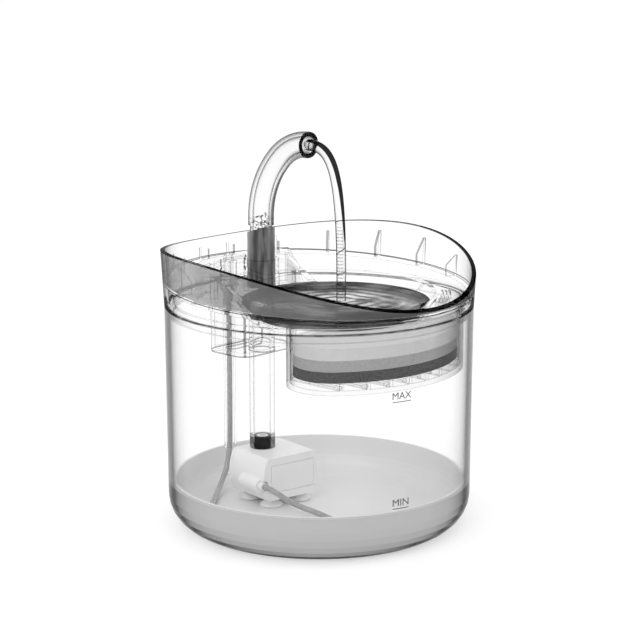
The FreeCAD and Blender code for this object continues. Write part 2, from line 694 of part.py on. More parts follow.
def impeller():
    """Ring magnet, disc and blades in one moulding that turns on the axle."""
    middle = pump_middle()
    magnet_back = chamber_front() - RUN
    disc_front = chamber_front() + RUN
    blade_back = back_bush_front() - 2 * RUN
    body = along_back(ROTOR_RADIUS, well_end() + RUN, magnet_back, ROTOR_X, middle)
    body = body.fuse(along_back(HUB_RADIUS, magnet_back - OVER, back_bush_front() - RUN, ROTOR_X, middle))
    body = body.fuse(along_back(BLADE_RADIUS, disc_front, disc_front + ROTOR_DISC, ROTOR_X, middle))
    for count in range(BLADE_COUNT):
        blade = block(HUB_RADIUS / 2, BLADE_RADIUS - SEAT, disc_front, blade_back, -BLADE_THICK / 2,
                      BLADE_THICK / 2)
        blade.rotate(V(0, 0, 0), V(0, 1, 0), 360.0 * count / BLADE_COUNT)
        blade.translate(V(ROTOR_X, 0, middle))
        body = body.fuse(blade)
    bore = along_back(AXLE_RADIUS + AXLE_PLAY, well_end(), cover_face(), ROTOR_X, middle)
    return on_pump(body.cut(bore).removeSplitter())


def impeller_axle():
    return on_pump(along_back(AXLE_RADIUS, well_end() - AXLE_BUSH_LENGTH, cover_face(), ROTOR_X, pump_middle()))


def axle_bushes():
    """Rubber bush at each end of the axle."""
    middle = pump_middle()
    radius = AXLE_BUSH_RADIUS - SEAT / 2
    front = along_back(radius, well_end() - AXLE_BUSH_LENGTH, well_end(), ROTOR_X, middle)
    back = along_back(radius, back_bush_front(), cover_face(), ROTOR_X, middle)
    bore = along_back(AXLE_RADIUS, well_end() - AXLE_BUSH_LENGTH - OVER, PUMP_BACK, ROTOR_X, middle)
    return on_pump(Part.makeCompound([front.cut(bore), back.cut(bore)]))


def core_side():
    """Distance from the rotor's axis to the inner face of a core leg."""
    return ROTOR_RADIUS + RUN + WELL_SHELL + SEAT


def stator_core():
    """U-shaped stack of laminations: a yoke at the front and a leg on each side of the rotor."""
    middle = pump_middle()
    near = core_side()
    far = near + CORE_THICK
    low = middle - CORE_HEIGHT / 2
    high = middle + CORE_HEIGHT / 2
    yoke = block(ROTOR_X - far, ROTOR_X + far, CORE_FRONT, CORE_FRONT + CORE_THICK, low, high)
    left = block(ROTOR_X - far, ROTOR_X - near, CORE_FRONT, CORE_BACK, low, high)
    right = block(ROTOR_X + near, ROTOR_X + far, CORE_FRONT, CORE_BACK, low, high)
    return on_pump(yoke.fuse([left, right]).removeSplitter())


def stator_coil():
    """Winding round the yoke, between the legs."""
    middle = pump_middle()
    half = core_side() - 4 * SEAT
    low = middle - CORE_HEIGHT / 2 - SEAT
    high = middle + CORE_HEIGHT / 2 + SEAT
    back = CORE_FRONT + CORE_THICK + SEAT
    front = CORE_FRONT - SEAT
    outer = block(ROTOR_X - half, ROTOR_X + half, front - COIL_WIRE + SEAT, back + COIL_WIRE,
                  low - COIL_WIRE, high + COIL_WIRE)

    def is_lengthwise(edge):
        return edge.Length > 2 * half - SEAT and abs(edge.Vertexes[0].X - edge.Vertexes[-1].X) > half

    outer = round_edges(outer, COIL_WIRE / 2, is_lengthwise)
    return on_pump(outer.cut(block(ROTOR_X - 2 * half, ROTOR_X + 2 * half, front, back, low, high)))


def pump_end_plate():
    """Plate that closes the potted motor at the front."""
    return on_pump(block(PUMP_LEFT + PUMP_WALL + SEAT, PUMP_RIGHT - PUMP_WALL - SEAT, PUMP_FRONT,
                         PUMP_FRONT + END_PLATE - SEAT, pocket_low() + SEAT, pocket_high() - SEAT))


def liner_floor():
    return TANK_FLOOR + LINER_FLOOR


def suction_cups():
    """Four soft cups: a shallow bell on the floor and a stem in the housing."""
    low = liner_floor() + RUN
    neck = PUMP_BASE - SEAT
    stem_top = PUMP_BASE + CUP_STEM
    cups = []
    for x, y in cup_centres():
        bell = [(CUP_RADIUS, low), (CUP_RADIUS, low + CUP_SKIN), (CUP_STEM_RADIUS, neck),
                (CUP_STEM_RADIUS, stem_top), (0, stem_top), (0, low + CUP_HOLLOW),
                (CUP_RADIUS - 2 * CUP_SKIN, low + CUP_HOLLOW), (CUP_RADIUS - 2 * CUP_SKIN, low)]
        cups.append(turned(bell, x, y))
    return on_pump(Part.makeCompound(cups))


def outlet_bush():
    """Rubber bush on the pump's nipple that grips the foot of the riser tube from inside."""
    return tube(TUBE_BORE / 2 - SEAT / 2, NIPPLE_OUTER / 2 + SEAT / 2, PUMP_TOP, PUMP_TOP + BUSH_HEIGHT,
                0, WATER_Y)


def lead_gland():
    """Rubber strain relief in the barrel, with a nose that narrows to the lead."""
    barrel_front = PUMP_FRONT + GLAND_NOSE
    plug = along_back(GLAND_BORE - SEAT / 2, barrel_front, barrel_front + GLAND_DEPTH - SEAT, GLAND_X, GLAND_Z)
    nose = Part.makeCone(LEAD_DIAMETER * 0.7, GLAND_BORE - SEAT / 2, GLAND_NOSE,
                         V(GLAND_X, PUMP_FRONT, GLAND_Z), V(0, 1, 0))
    return on_pump(plug.fuse(nose).removeSplitter())


def gland_mouth():
    """Where the lead leaves the gland, and a point on its way out, square to the nose."""
    spots = [Part.Vertex(GLAND_X, PUMP_FRONT, GLAND_Z), Part.Vertex(GLAND_X, PUMP_FRONT - 1, GLAND_Z)]
    mouth, ahead = [on_pump(spot).Point for spot in spots]
    return mouth, (ahead - mouth).normalize()


def connector_foot():
    return GUIDE_SHOULDER - 2 * SEAT - CONNECTOR_LENGTH


def lead_points():
    mouth, ahead = gland_mouth()
    last = V(0, GUIDE_Y, connector_foot())
    route = [V(x, WATER_Y + y, z) for x, y, z in LEAD_ROUTE]
    return [mouth, mouth + ahead * LEAD_START] + route + [last]


def pump_lead():
    """Round lead along straight runs joined by tangent arcs; prints its radii, length and volume."""
    points = lead_points()
    edges = []
    radii = []
    start = points[0]
    for before, corner, after in zip(points, points[1:], points[2:]):
        back = (before - corner).normalize()
        ahead = (after - corner).normalize()
        half_turn = (math.pi - back.getAngle(ahead)) / 2
        share = ARC_SHARE * min((before - corner).Length, (after - corner).Length)
        radius = share / math.tan(half_turn)
        enter = corner + back * share
        leave = corner + ahead * share
        towards_centre = (back + ahead).normalize()
        middle = corner + towards_centre * (radius / math.cos(half_turn) - radius)
        edges.append(Part.LineSegment(start, enter).toShape())
        edges.append(Part.Arc(enter, middle, leave).toShape())
        radii.append(radius)
        start = leave
    edges.append(Part.LineSegment(start, points[-1]).toShape())
    path = Part.Wire(edges)
    circle = Part.Wire([Part.makeCircle(LEAD_DIAMETER / 2, points[0], points[1] - points[0])])
    lead = path.makePipeShell([circle], True, True)
    section = math.pi * LEAD_DIAMETER ** 2 / 4
    print("lead radii", [round(radius, 1) for radius in radii])
    print("lead length %.1f, volume %.1f, section x length %.1f"
          % (path.Length, lead.Volume, section * path.Length))
    return lead


def cable_guide():
    """Clear tube at the back that holds the lead, with a window for it at the foot and a narrow neck."""
    body = disc(GUIDE_OUTER / 2, GUIDE_FOOT, GUIDE_SHOULDER, 0, GUIDE_Y)
    body = body.fuse(disc(NECK_OUTER / 2, GUIDE_SHOULDER, NECK_TOP, 0, GUIDE_Y))
    cuts = [disc(GUIDE_BORE / 2, GUIDE_FOOT - OVER, GUIDE_SHOULDER - SEAT, 0, GUIDE_Y),
            disc(NECK_BORE / 2, GUIDE_FOOT, NECK_TOP + OVER, 0, GUIDE_Y),
            block(-GUIDE_OUTER, -NECK_BORE / 6, GUIDE_Y - GUIDE_OUTER, GUIDE_Y + GUIDE_OUTER,
                  GUIDE_FOOT - OVER, GUIDE_FOOT + GUIDE_WINDOW)]
    return body.cut(cuts).removeSplitter()


def lead_connector():
    """Slim barrel connector at the end of the lead, seated under the neck of the guide."""
    foot = connector_foot()
    return disc(GUIDE_BORE / 2 - SEAT / 2, foot, foot + CONNECTOR_LENGTH, 0, GUIDE_Y)


def half_moon(inset=0.0):
    """Outline of the filter box in plan, drawn inwards by inset."""
    corner = BOX_CORNER - inset
    radius = BOX_RADIUS - inset
    centre_y = BOX_CHORD_Y - BOX_CORNER
    centre_far = BOX_RADIUS - BOX_CORNER
    centre_x = math.sqrt(centre_far ** 2 - centre_y ** 2)

    def arcs(side):
        centre = V(side * centre_x, centre_y, 0)
        outward = V(side * centre_x, centre_y, 0).normalize()
        begin = centre + V(0, corner, 0)
        end = centre + outward * corner
        middle = centre + (V(0, 1, 0) + outward).normalize() * corner
        return begin, middle, end

    right = arcs(1)
    left = arcs(-1)
    edges = [Part.LineSegment(left[0], right[0]).toShape(), Part.Arc(*right).toShape(),
             Part.Arc(right[2], V(0, -radius, 0), left[2]).toShape(), Part.Arc(left[2], left[1], left[0]).toShape()]
    return Part.Wire(edges)


def filter_box():
    """Half-moon box under the tray, cut to clear the pool, with ribs and slots in its floor."""
    top = PLATFORM_TOP
    floor = BOX_BOTTOM + BOX_WALL
    inner_plan = half_moon(BOX_WALL)
    over = side_prism([(-BEYOND, floor_under(-BEYOND) - RUN), (0, floor_under(0) - RUN), (0, top + OVER),
                       (-BEYOND, top + OVER)], BEYOND)
    body = prism(half_moon(), BOX_BOTTOM, top).cut(prism(inner_plan, floor, top + OVER))
    body = body.cut([over, pool_outside(2 * RUN)])
    ribs = []
    slots = []
    reach = math.floor(BOX_RADIUS / BOX_RIB_PITCH)
    for count in range(-reach, reach + 1):
        x = count * BOX_RIB_PITCH
        ribs.append(block(x - BOX_RIB_THICK / 2, x + BOX_RIB_THICK / 2, -BOX_RADIUS, 0, floor - BOX_WALL / 2,
                          floor + BOX_RIB_HEIGHT))
        gap = x + BOX_RIB_PITCH / 2
        slots.append(block(gap - BOX_SLOT_WIDTH / 2, gap + BOX_SLOT_WIDTH / 2, -BOX_RADIUS, 0,
                           BOX_BOTTOM - OVER, floor + OVER))
    inside = prism(half_moon(BOX_WALL / 2), BOX_BOTTOM, top)
    grille = prism(half_moon(BOX_CORNER / 2), BOX_BOTTOM - OVER, floor + OVER)
    body = body.fuse([shape for shape in (rib_bar.common(inside) for rib_bar in ribs) if shape.Solids])
    body = body.cut([shape for shape in (slot.common(grille) for slot in slots) if shape.Solids])
    return body.removeSplitter()


def filter_layers():
    layers = {}
    low = LAYERS_LOW
    for name, thick in (("filter_carbon", CARBON_THICK), ("filter_resin", RESIN_THICK),
                        ("filter_cotton", COTTON_THICK)):
        layers[name] = prism(half_moon(LAYER_INSET), low, low + thick)
        low += thick
    return layers


def build():
    pieces = {
        "tank": tank(),
        "base_liner": base_liner(),
        "drinking_tray": drinking_tray(),
        "faucet_coupler": faucet_coupler(),
        "spout_tube": spout_tube(),
        "spout_nozzle": spout_nozzle(),
        "riser_tube": riser_tube(),
        "outlet_bush": outlet_bush(),
        "pump_housing": pump_housing(),
        "pump_cover": pump_cover(),
        "pump_end_plate": pump_end_plate(),
        "stator_core": stator_core(),
        "stator_coil": stator_coil(),
        "impeller": impeller(),
        "impeller_axle": impeller_axle(),
        "axle_bushes": axle_bushes(),
        "suction_cups": suction_cups(),
        "lead_gland": lead_gland(),
        "pump_lead": pump_lead(),
        "lead_connector": lead_connector(),
        "cable_guide": cable_guide(),
        "filter_box": filter_box(),
    }
    pieces.update(filter_layers())
    return pieces


os.makedirs("parts", exist_ok=True)
for name, shape in build().items():
    shape.exportStep("parts/%s.step" % name)
    box = shape.BoundBox
    print("%-16s solids %d valid %s volume %9.1f  x %6.1f..%6.1f  y %6.1f..%6.1f  z %6.1f..%6.1f"
          % (name, len(shape.Solids), shape.isValid(), shape.Volume, box.XMin, box.XMax, box.YMin, box.YMax,
             box.ZMin, box.ZMax))
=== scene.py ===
import math

import bmesh
import bpy
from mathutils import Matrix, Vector


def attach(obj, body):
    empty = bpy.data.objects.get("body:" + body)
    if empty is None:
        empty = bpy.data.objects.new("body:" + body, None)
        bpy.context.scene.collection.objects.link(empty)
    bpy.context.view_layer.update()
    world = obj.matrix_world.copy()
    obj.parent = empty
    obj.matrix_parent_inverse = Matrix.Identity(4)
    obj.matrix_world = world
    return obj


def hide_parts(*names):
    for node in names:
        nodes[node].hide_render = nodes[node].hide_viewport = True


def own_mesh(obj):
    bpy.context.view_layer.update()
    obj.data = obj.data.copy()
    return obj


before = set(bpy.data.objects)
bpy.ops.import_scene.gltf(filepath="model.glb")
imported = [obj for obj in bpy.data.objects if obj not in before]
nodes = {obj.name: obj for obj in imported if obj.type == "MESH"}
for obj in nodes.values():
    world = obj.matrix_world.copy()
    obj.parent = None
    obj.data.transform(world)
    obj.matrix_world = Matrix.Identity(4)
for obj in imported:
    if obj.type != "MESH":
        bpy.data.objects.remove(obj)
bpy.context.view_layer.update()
scene = bpy.context.scene


# The studio: a pale floor, a white surround and soft lamps, seen by a long lens from the front
# left and a little above, as a product is photographed on white. A ray may cross forty surfaces,
# because the clear pieces stand many layers deep behind one another.
MM = 0.001
VIEW_AZIMUTH = math.radians(-47.0)
VIEW_ELEVATION = math.radians(12.33)
VIEW_DISTANCE = 1.1055
VIEW_TARGET = Vector((0.3 * MM, -0.4 * MM, 114.9 * MM))
FOCAL_PIXELS = 2007.6
FRAME_PIXELS = 640
SENSOR = 36.0
CLEAR_LAYERS = 40

towards_camera = Vector((math.sin(VIEW_AZIMUTH) * math.cos(VIEW_ELEVATION),
                         -math.cos(VIEW_AZIMUTH) * math.cos(VIEW_ELEVATION), math.sin(VIEW_ELEVATION)))
camera_data = bpy.data.cameras.new("camera")
camera_data.sensor_width = SENSOR
camera_data.lens = FOCAL_PIXELS / FRAME_PIXELS * SENSOR
camera = bpy.data.objects.new("camera", camera_data)
camera.location = VIEW_TARGET + towards_camera * VIEW_DISTANCE
camera.rotation_euler = (-towards_camera).to_track_quat("-Z", "Y").to_euler()
scene.collection.objects.link(camera)
scene.camera = camera
scene.view_settings.view_transform = "Standard"
scene.cycles.max_bounces = CLEAR_LAYERS
scene.cycles.transmission_bounces = CLEAR_LAYERS
scene.cycles.transparent_max_bounces = CLEAR_LAYERS


class Tree:
    """Adds nodes to the tree of a material, a world or a geometry group, and links them."""

    def __init__(self, owner):
        if isinstance(owner, bpy.types.NodeTree):
            self.tree = owner
        else:
            owner.use_nodes = True
            self.tree = owner.node_tree
        self.tree.nodes.clear()

    def add(self, kind, inputs=None, **settings):
        node = self.tree.nodes.new(kind)
        for key, value in settings.items():
            setattr(node, key, value)
        for key, value in (inputs or {}).items():
            if isinstance(value, bpy.types.NodeSocket):
                self.tree.links.new(value, node.inputs[key])
            else:
                node.inputs[key].default_value = value
        return node

    def math(self, operation, first, second=0.0):
        return self.add("ShaderNodeMath", {0: first, 1: second}, operation=operation).outputs[0]

    def span(self, value, low, high, start, end):
        """Runs from start to end as value goes from low to high."""
        return self.add("ShaderNodeMapRange", {0: value, 1: low, 2: high, 3: start, 4: end}).outputs[0]

    def curve(self, value, stops):
        """Greys at places between 0 and 1, joined by straight runs."""
        ramp = self.add("ShaderNodeValToRGB", {0: value})
        elements = ramp.color_ramp.elements
        elements[0].position, elements[1].position = stops[0][0], stops[-1][0]
        for position, level in stops[1:-1]:
            elements.new(position)
        for element, (position, level) in zip(elements, stops):
            element.color = grey(level)
        return ramp.outputs[0]


def grey(level):
    return (level, level, level, 1.0)


def seen_by_eye(tree):
    """1 on rays from the camera and on those that a glossy or clear surface sends on."""
    path = tree.add("ShaderNodeLightPath").outputs
    seen = tree.math("MAXIMUM", path["Is Camera Ray"], path["Is Glossy Ray"])
    return tree.math("MAXIMUM", seen, path["Is Transmission Ray"])


def end_in(tree, shader):
    """Makes that shader the finish of the material."""
    tree.add("ShaderNodeOutputMaterial", {"Surface": shader.outputs[0]})


AMBIENT = 0.92
surround = bpy.data.worlds.new("surround")
scene.world = surround
tree = Tree(surround)
strength = tree.span(seen_by_eye(tree), 0.0, 1.0, AMBIENT, 1.0)
background = tree.add("ShaderNodeBackground", {"Color": grey(1.0), "Strength": strength})
tree.add("ShaderNodeOutputWorld", {"Surface": background.outputs[0]})

LAMP_SIZE = 1.2


def soft_lamp(name, place, power):
    """A square lamp that faces the object."""
    data = bpy.data.lights.new(name, "AREA")
    data.shape = "SQUARE"
    data.size = LAMP_SIZE
    data.energy = power
    lamp = bpy.data.objects.new(name, data)
    lamp.location = place
    lamp.rotation_euler = (Vector(place) - VIEW_TARGET).to_track_quat("Z", "Y").to_euler()
    scene.collection.objects.link(lamp)


soft_lamp("key_lamp", place=(-1.6, -0.4, 1.5), power=8.0)
soft_lamp("fill_lamp", place=(1.3, -1.2, 1.1), power=3.0)

FLOOR_HALF = 6.0
PAPER_LEVEL = 0.80
PAPER_LIFT = 0.30
floor_mesh = bpy.data.meshes.new("floor")
corners = [(x * FLOOR_HALF, y * FLOOR_HALF, 0) for x, y in ((-1, -1), (1, -1), (1, 1), (-1, 1))]
floor_mesh.from_pydata(corners, [], [(0, 1, 2, 3)])
floor = bpy.data.objects.new("floor", floor_mesh)
scene.collection.objects.link(floor)
paper = bpy.data.materials.new("white_paper")
tree = Tree(paper)
matt = tree.add("ShaderNodeBsdfDiffuse", {"Color": grey(PAPER_LEVEL)})
lifted = tree.math("MULTIPLY", seen_by_eye(tree), PAPER_LIFT)
lift = tree.add("ShaderNodeEmission", {"Color": grey(1.0), "Strength": lifted})
end_in(tree, tree.add("ShaderNodeAddShader", {0: matt.outputs[0], 1: lift.outputs[0]}))
floor.data.materials.append(paper)


# The tank: a straight-sided bowl moulded in clear plastic with a soft corner at its foot. Painted
# shade: the outside of the wall is clear where it is seen square on and painted darker towards its
# outline, its top edge is painted as a fine dark line, and its thick foot magnifies the liner, so there
# the band of milky white is painted out to the outline.
def dress(names, material):
    """Give CAD nodes a finish."""
    for name in names:
        node = nodes[name]
        node.data.materials.clear()
        node.data.materials.append(material)


def place_on(tree):
    """Where the surface point lies in the piece."""
    return tree.add("ShaderNodeTexCoord").outputs["Object"]


def axes(tree, vector):
    """The X, Y and Z of a vector."""
    return tree.add("ShaderNodeSeparateXYZ", {0: vector}).outputs


def from_axis(tree):
    """The level vector from the object's upright axis to the surface point."""
    return tree.add("ShaderNodeVectorMath", {0: place_on(tree), 1: (1.0, 1.0, 0.0)},
                    operation="MULTIPLY").outputs[0]


def dot(tree, first, second):
    return tree.add("ShaderNodeVectorMath", {0: first, 1: second}, operation="DOT_PRODUCT").outputs["Value"]


def surface_normal(tree):
    return tree.add("ShaderNodeNewGeometry").outputs["Normal"]


def inverse(tree, mask):
    """1 where the mask is 0."""
    return tree.math("SUBTRACT", 1.0, mask)


def from_outside(tree):
    """1 where a ray meets a face from outside the plastic or the water."""
    return inverse(tree, tree.add("ShaderNodeNewGeometry").outputs["Backfacing"])


def outer_face(tree, outward):
    """1 where a ray meets, from outside, a face that looks along outward. 0 on inner faces."""
    looks_out = tree.math("GREATER_THAN", dot(tree, outward, surface_normal(tree)), 0.0)
    return tree.math("MULTIPLY", looks_out, from_outside(tree))


def turned_away(tree):
    """0 where a surface faces the eye and 1 where it is seen edge on."""
    return tree.add("ShaderNodeLayerWeight", {"Blend": 0.5}).outputs["Facing"]


def shade(tree, tint_and_shade, mask, level):
    """The colour, times level where the mask is 1: painted shade."""
    loss = tree.math("MULTIPLY", mask, 1.0 - level)
    return tree.math("MULTIPLY", tint_and_shade, inverse(tree, loss))


def finish_clear(tree, tint_and_shade, ior, clearness=1.0, passed=0.975):
    """Clear plastic of that colour, painted shade included. Light on its way to the pieces inside goes
    straight through.
    """
    clear = tree.add("ShaderNodeBsdfPrincipled", {"Base Color": tint_and_shade, "Roughness": 0.0, "IOR": ior,
                                                  "Transmission Weight": clearness})
    straight = tree.add("ShaderNodeBsdfTransparent", {"Color": grey(passed)})
    path = tree.add("ShaderNodeLightPath").outputs
    lighting = tree.math("MAXIMUM", path["Is Shadow Ray"], path["Is Diffuse Ray"])
    end_in(tree, tree.add("ShaderNodeMixShader", {0: lighting, 1: clear.outputs[0], 2: straight.outputs[0]}))


TANK_TOP = 124.8 * MM
LINER_TOP = 27.2 * MM
TANK_IOR = 1.08
TANK_OUTLINE_SHADE = [(0.34, 0.97), (0.49, 0.86), (0.54, 0.80), (0.616, 0.60), (0.665, 0.42), (0.704, 0.21),
             (0.745, 0.03), (1.0, 0.02)]
TANK_INSIDE_LEVEL = 0.985
TOP_LINE = 0.4 * MM
TOP_LINE_LEVEL = 0.25
TANK_FOOT_LEVEL = 0.56
TANK_FOOT_CLEARNESS = 0.15
tank_clear = bpy.data.materials.new("tank_clear")
tree = Tree(tank_clear)
height = axes(tree, place_on(tree))["Z"]
outside = outer_face(tree, from_axis(tree))
# Painted shade: the outer face is painted darker towards the outline, by the angle it is seen at.
tint_and_shade = tree.math("ADD", tree.math("MULTIPLY", outside, tree.curve(turned_away(tree), TANK_OUTLINE_SHADE)),
                 tree.math("MULTIPLY", inverse(tree, outside), TANK_INSIDE_LEVEL))
# Painted shade: a fine dark line along the top edge.
top_line = tree.math("GREATER_THAN", height, TANK_TOP - TOP_LINE)
tint_and_shade = shade(tree, tint_and_shade, top_line, TOP_LINE_LEVEL)
# The foot's outer face is painted grey and made less clear, painted in for the liner that the thick foot
# magnifies.
foot = tree.math("MULTIPLY", outside, tree.math("LESS_THAN", height, LINER_TOP))
tint_and_shade = shade(tree, tint_and_shade, foot, TANK_FOOT_LEVEL)
finish_clear(tree, tint_and_shade, TANK_IOR, clearness=tree.span(foot, 0.0, 1.0, 1.0, TANK_FOOT_CLEARNESS))
dress(["tank"], tank_clear)


# MAX and MIN level marks: grey letters with a line under each, printed on the front of the tank
# and bent round its side. The ink is slightly worn.
MARK_ANGLE = math.radians(-16.5)
MARK_HEIGHT = 3.7 * MM
MARK_PRINT = 0.06 * MM
MARK_LINE = 0.42 * MM
MARK_GAP = 4 * MARK_LINE
MARK_STEPS = 12
LETTER_HALF_THICK = 0.5
TANK_FOOT_RADIUS = 84.1 * MM
TANK_DRAFT = 0.9 * MM
INK_DARK = 0.035
INK_WORN = 0.07
INK_ROUGHNESS = 0.55


def tank_side(z):
    """Radius of the tank's side at that height."""
    return TANK_FOOT_RADIUS + TANK_DRAFT * z / TANK_TOP


MOTTLE_RANGE = (0.3, 0.7)


def mottle(tree, scale, detail):
    """A value that wanders over the piece, mostly between 0.3 and 0.7."""
    return tree.add("ShaderNodeTexNoise", {"Vector": place_on(tree), "Scale": scale,
                                           "Detail": detail}).outputs[0]


def spread(tree, value, low, high):
    """A mottle brought to the range from low to high."""
    return tree.span(value, *MOTTLE_RANGE, low, high)


mark_ink = bpy.data.materials.new("mark_ink")
tree = Tree(mark_ink)
worn = spread(tree, mottle(tree, scale=1800.0, detail=3.0), INK_DARK, INK_WORN)
end_in(tree, tree.add("ShaderNodeBsdfPrincipled", {"Base Color": worn, "Roughness": INK_ROUGHNESS}))


def level_mark(word, line_height, width):
    """A word and the line under it, as one mesh on the tank's side."""
    text = bpy.data.curves.new(word, "FONT")
    text.body = word
    text.extrude = LETTER_HALF_THICK
    holder = bpy.data.objects.new(word, text)
    scene.collection.objects.link(holder)
    mesh = bpy.data.meshes.new_from_object(holder.evaluated_get(bpy.context.evaluated_depsgraph_get()))
    bpy.data.objects.remove(holder)
    xs = [v.co.x for v in mesh.vertices]
    ys = [v.co.y for v in mesh.vertices]
    across = width / (max(xs) - min(xs))
    upward = MARK_HEIGHT / max(ys)
    middle = (max(xs) + min(xs)) / 2
    shape = bmesh.new()
    shape.from_mesh(mesh)
    for v in shape.verts:
        v.co = Vector(((v.co.x - middle) * across, v.co.y * upward + MARK_GAP, LETTER_HALF_THICK + v.co.z))
    for depth in (0.0, 1.0):
        rail = [[shape.verts.new(((step / MARK_STEPS - 0.5) * width, level, depth))
                 for step in range(MARK_STEPS + 1)] for level in (0, MARK_LINE)]
        for step in range(MARK_STEPS):
            corners = [rail[0][step], rail[0][step + 1], rail[1][step + 1], rail[1][step]]
            shape.faces.new(corners if depth else corners[::-1])
    for v in shape.verts:
        height = line_height + v.co.y
        reach = tank_side(height) + MARK_PRINT * v.co.z
        angle = MARK_ANGLE + v.co.x / reach
        v.co = Vector((reach * math.sin(angle), -reach * math.cos(angle), height))
    shape.to_mesh(mesh)
    shape.free()
    mark = bpy.data.objects.new("mark_" + word.lower(), mesh)
    mesh.materials.clear()
    mesh.materials.append(mark_ink)
    scene.collection.objects.link(mark)
    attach(mark, "tank")


level_mark("MAX", line_height=87.4 * MM, width=11.5 * MM)
level_mark("MIN", line_height=29.6 * MM, width=9.8 * MM)


# The liner: a shallow dish of milky white plastic that drops into the foot of the tank and hides
# its floor. Its side is painted greyer than its floor, as painted shade, and its skin is satin.
LINER_FLOOR_LEVEL = 0.84
LINER_SIDE_SHADE = 0.56
LINER_SIDE_REACH = 60.0 * MM
LINER_ROUGHNESS = 0.42
LINER_GRAIN = 0.05
LINER_CLOUDS = (0.985, 1.015)
SKIN_DEPTH = 0.05 * MM


def skin_bump(tree, grain, strength):
    """The normal of a fine moulded skin."""
    return tree.add("ShaderNodeBump", {"Strength": strength, "Distance": SKIN_DEPTH,
                                       "Height": grain}).outputs[0]


liner_white = bpy.data.materials.new("liner_white")
tree = Tree(liner_white)
# Painted shade: faces that look away from the axis, the liner's side, are painted greyer than its floor.
side = tree.span(dot(tree, from_axis(tree), surface_normal(tree)), 0.0, LINER_SIDE_REACH, 0.0, 1.0)
milk_and_shade = tree.math("MULTIPLY", tree.span(side, 0.0, 1.0, LINER_FLOOR_LEVEL, LINER_SIDE_SHADE),
                 spread(tree, mottle(tree, scale=55.0, detail=4.0), *LINER_CLOUDS))
skin = skin_bump(tree, mottle(tree, scale=2400.0, detail=2.0), LINER_GRAIN)
end_in(tree, tree.add("ShaderNodeBsdfPrincipled", {"Base Color": milk_and_shade, "Roughness": LINER_ROUGHNESS,
                                                   "Normal": skin}))
dress(["base_liner"], liner_white)


# The pump: white moulded halves round a small motor, with a pull-off cover over the impeller,
# four rubber feet, and a grey bush that takes the riser tube. The rotor turns on a ceramic axle.
MOULD_GRAIN = 0.04
COLOUR_SPREAD = 0.03
ROUGHNESS_SPREAD = 0.04
GRAIN_RANGE = (0.2, 0.8)


def moulded(name, level, roughness):
    """Opaque moulded plastic or rubber with a fine skin and slightly uneven colour."""
    material = bpy.data.materials.new(name)
    tree = Tree(material)
    clouds = mottle(tree, scale=90.0, detail=4.0)
    uneven = spread(tree, clouds, level * (1 - COLOUR_SPREAD), level * (1 + COLOUR_SPREAD))
    grain = mottle(tree, scale=3200.0, detail=2.0)
    rough = tree.span(grain, *GRAIN_RANGE, roughness - ROUGHNESS_SPREAD, roughness + ROUGHNESS_SPREAD)
    end_in(tree, tree.add("ShaderNodeBsdfPrincipled", {"Base Color": uneven, "Roughness": rough,
                                                       "Normal": skin_bump(tree, grain, MOULD_GRAIN)}))
    return material


pump_white = moulded("pump_white", level=0.90, roughness=0.38)
dress(["pump_housing", "pump_cover", "pump_end_plate", "lead_gland"], pump_white)
dress(["suction_cups"], moulded("cup_rubber", level=0.86, roughness=0.30))
dress(["outlet_bush"], moulded("bush_rubber", level=0.075, roughness=0.45))
dress(["axle_bushes"], moulded("axle_rubber", level=0.05, roughness=0.5))
dress(["impeller"], moulded("rotor_plastic", level=0.06, roughness=0.35))
dress(["impeller_axle"], moulded("axle_ceramic", level=0.80, roughness=0.15))


# The motor inside the pump: a stack of steel plates with a copper coil wound round its foot. Fine
# grooves stand for the edges of the plates and the turns of the wire.
STEEL = grey(0.42)
COPPER = (0.75, 0.33, 0.16, 1.0)
GROOVE_DEPTH = 0.1 * MM
GROOVE_STRENGTH = 0.5


def metal(name, colour, roughness, line_scale, direction):
    """Metal with even grooves across that direction."""
    material = bpy.data.materials.new(name)
    tree = Tree(material)
    lines = tree.add("ShaderNodeTexWave", {"Vector": place_on(tree), "Scale": line_scale},
                     bands_direction=direction).outputs["Fac"]
    groove = tree.add("ShaderNodeBump", {"Strength": GROOVE_STRENGTH, "Distance": GROOVE_DEPTH,
                                         "Height": lines}).outputs[0]
    end_in(tree, tree.add("ShaderNodeBsdfPrincipled", {"Base Color": colour, "Metallic": 1.0,
                                                       "Roughness": roughness, "Normal": groove}))
    return material


dress(["stator_core"], metal("core_steel", STEEL, roughness=0.38, line_scale=640.0, direction="Y"))
dress(["stator_coil"], metal("coil_copper", COPPER, roughness=0.3, line_scale=900.0, direction="Z"))


# The pump's lead: a thin round cable in a glossy grey sheath. It leaves the gland on the pump's
# front, lies in a loose loop on the liner and goes up the guide tube to its connector.
LEAD_DIAMETER = 3.2 * MM
LEAD_AHEAD = 8.0 * MM
lead_mouth = Vector((-20.05, 23.38, 18.7)) * MM
lead_ahead = Vector((-0.156434, -0.987688, 0.0))
LEAD_ROUTE = [(-14.5, 6.5, 11.0), (-7.0, -10.5, 6.4), (-14.0, -35.5, 6.3), (-38.0, -43.5, 6.4),
              (-58.0, -21.5, 6.3), (-61.0, 12.5, 6.4), (-47.0, 41.5, 6.3), (-16.0, 65.0, 6.6),
              (-1.0, 70.7, 21.0), (0.1, 71.05, 48.0), (0.0, 71.0, 115.2)]
SHEATH_LEVELS = (0.33, 0.42)
SHEATH_ROUGHNESS = (0.10, 0.18)
SHEATH_COAT = 0.8
SHEATH_COAT_ROUGHNESS = 0.04
lead_curve = bpy.data.curves.new("pump_lead_cable", "CURVE")
lead_curve.dimensions = "3D"
lead_curve.bevel_depth = LEAD_DIAMETER / 2
lead_curve.bevel_resolution = 4
lead_curve.resolution_u = 10
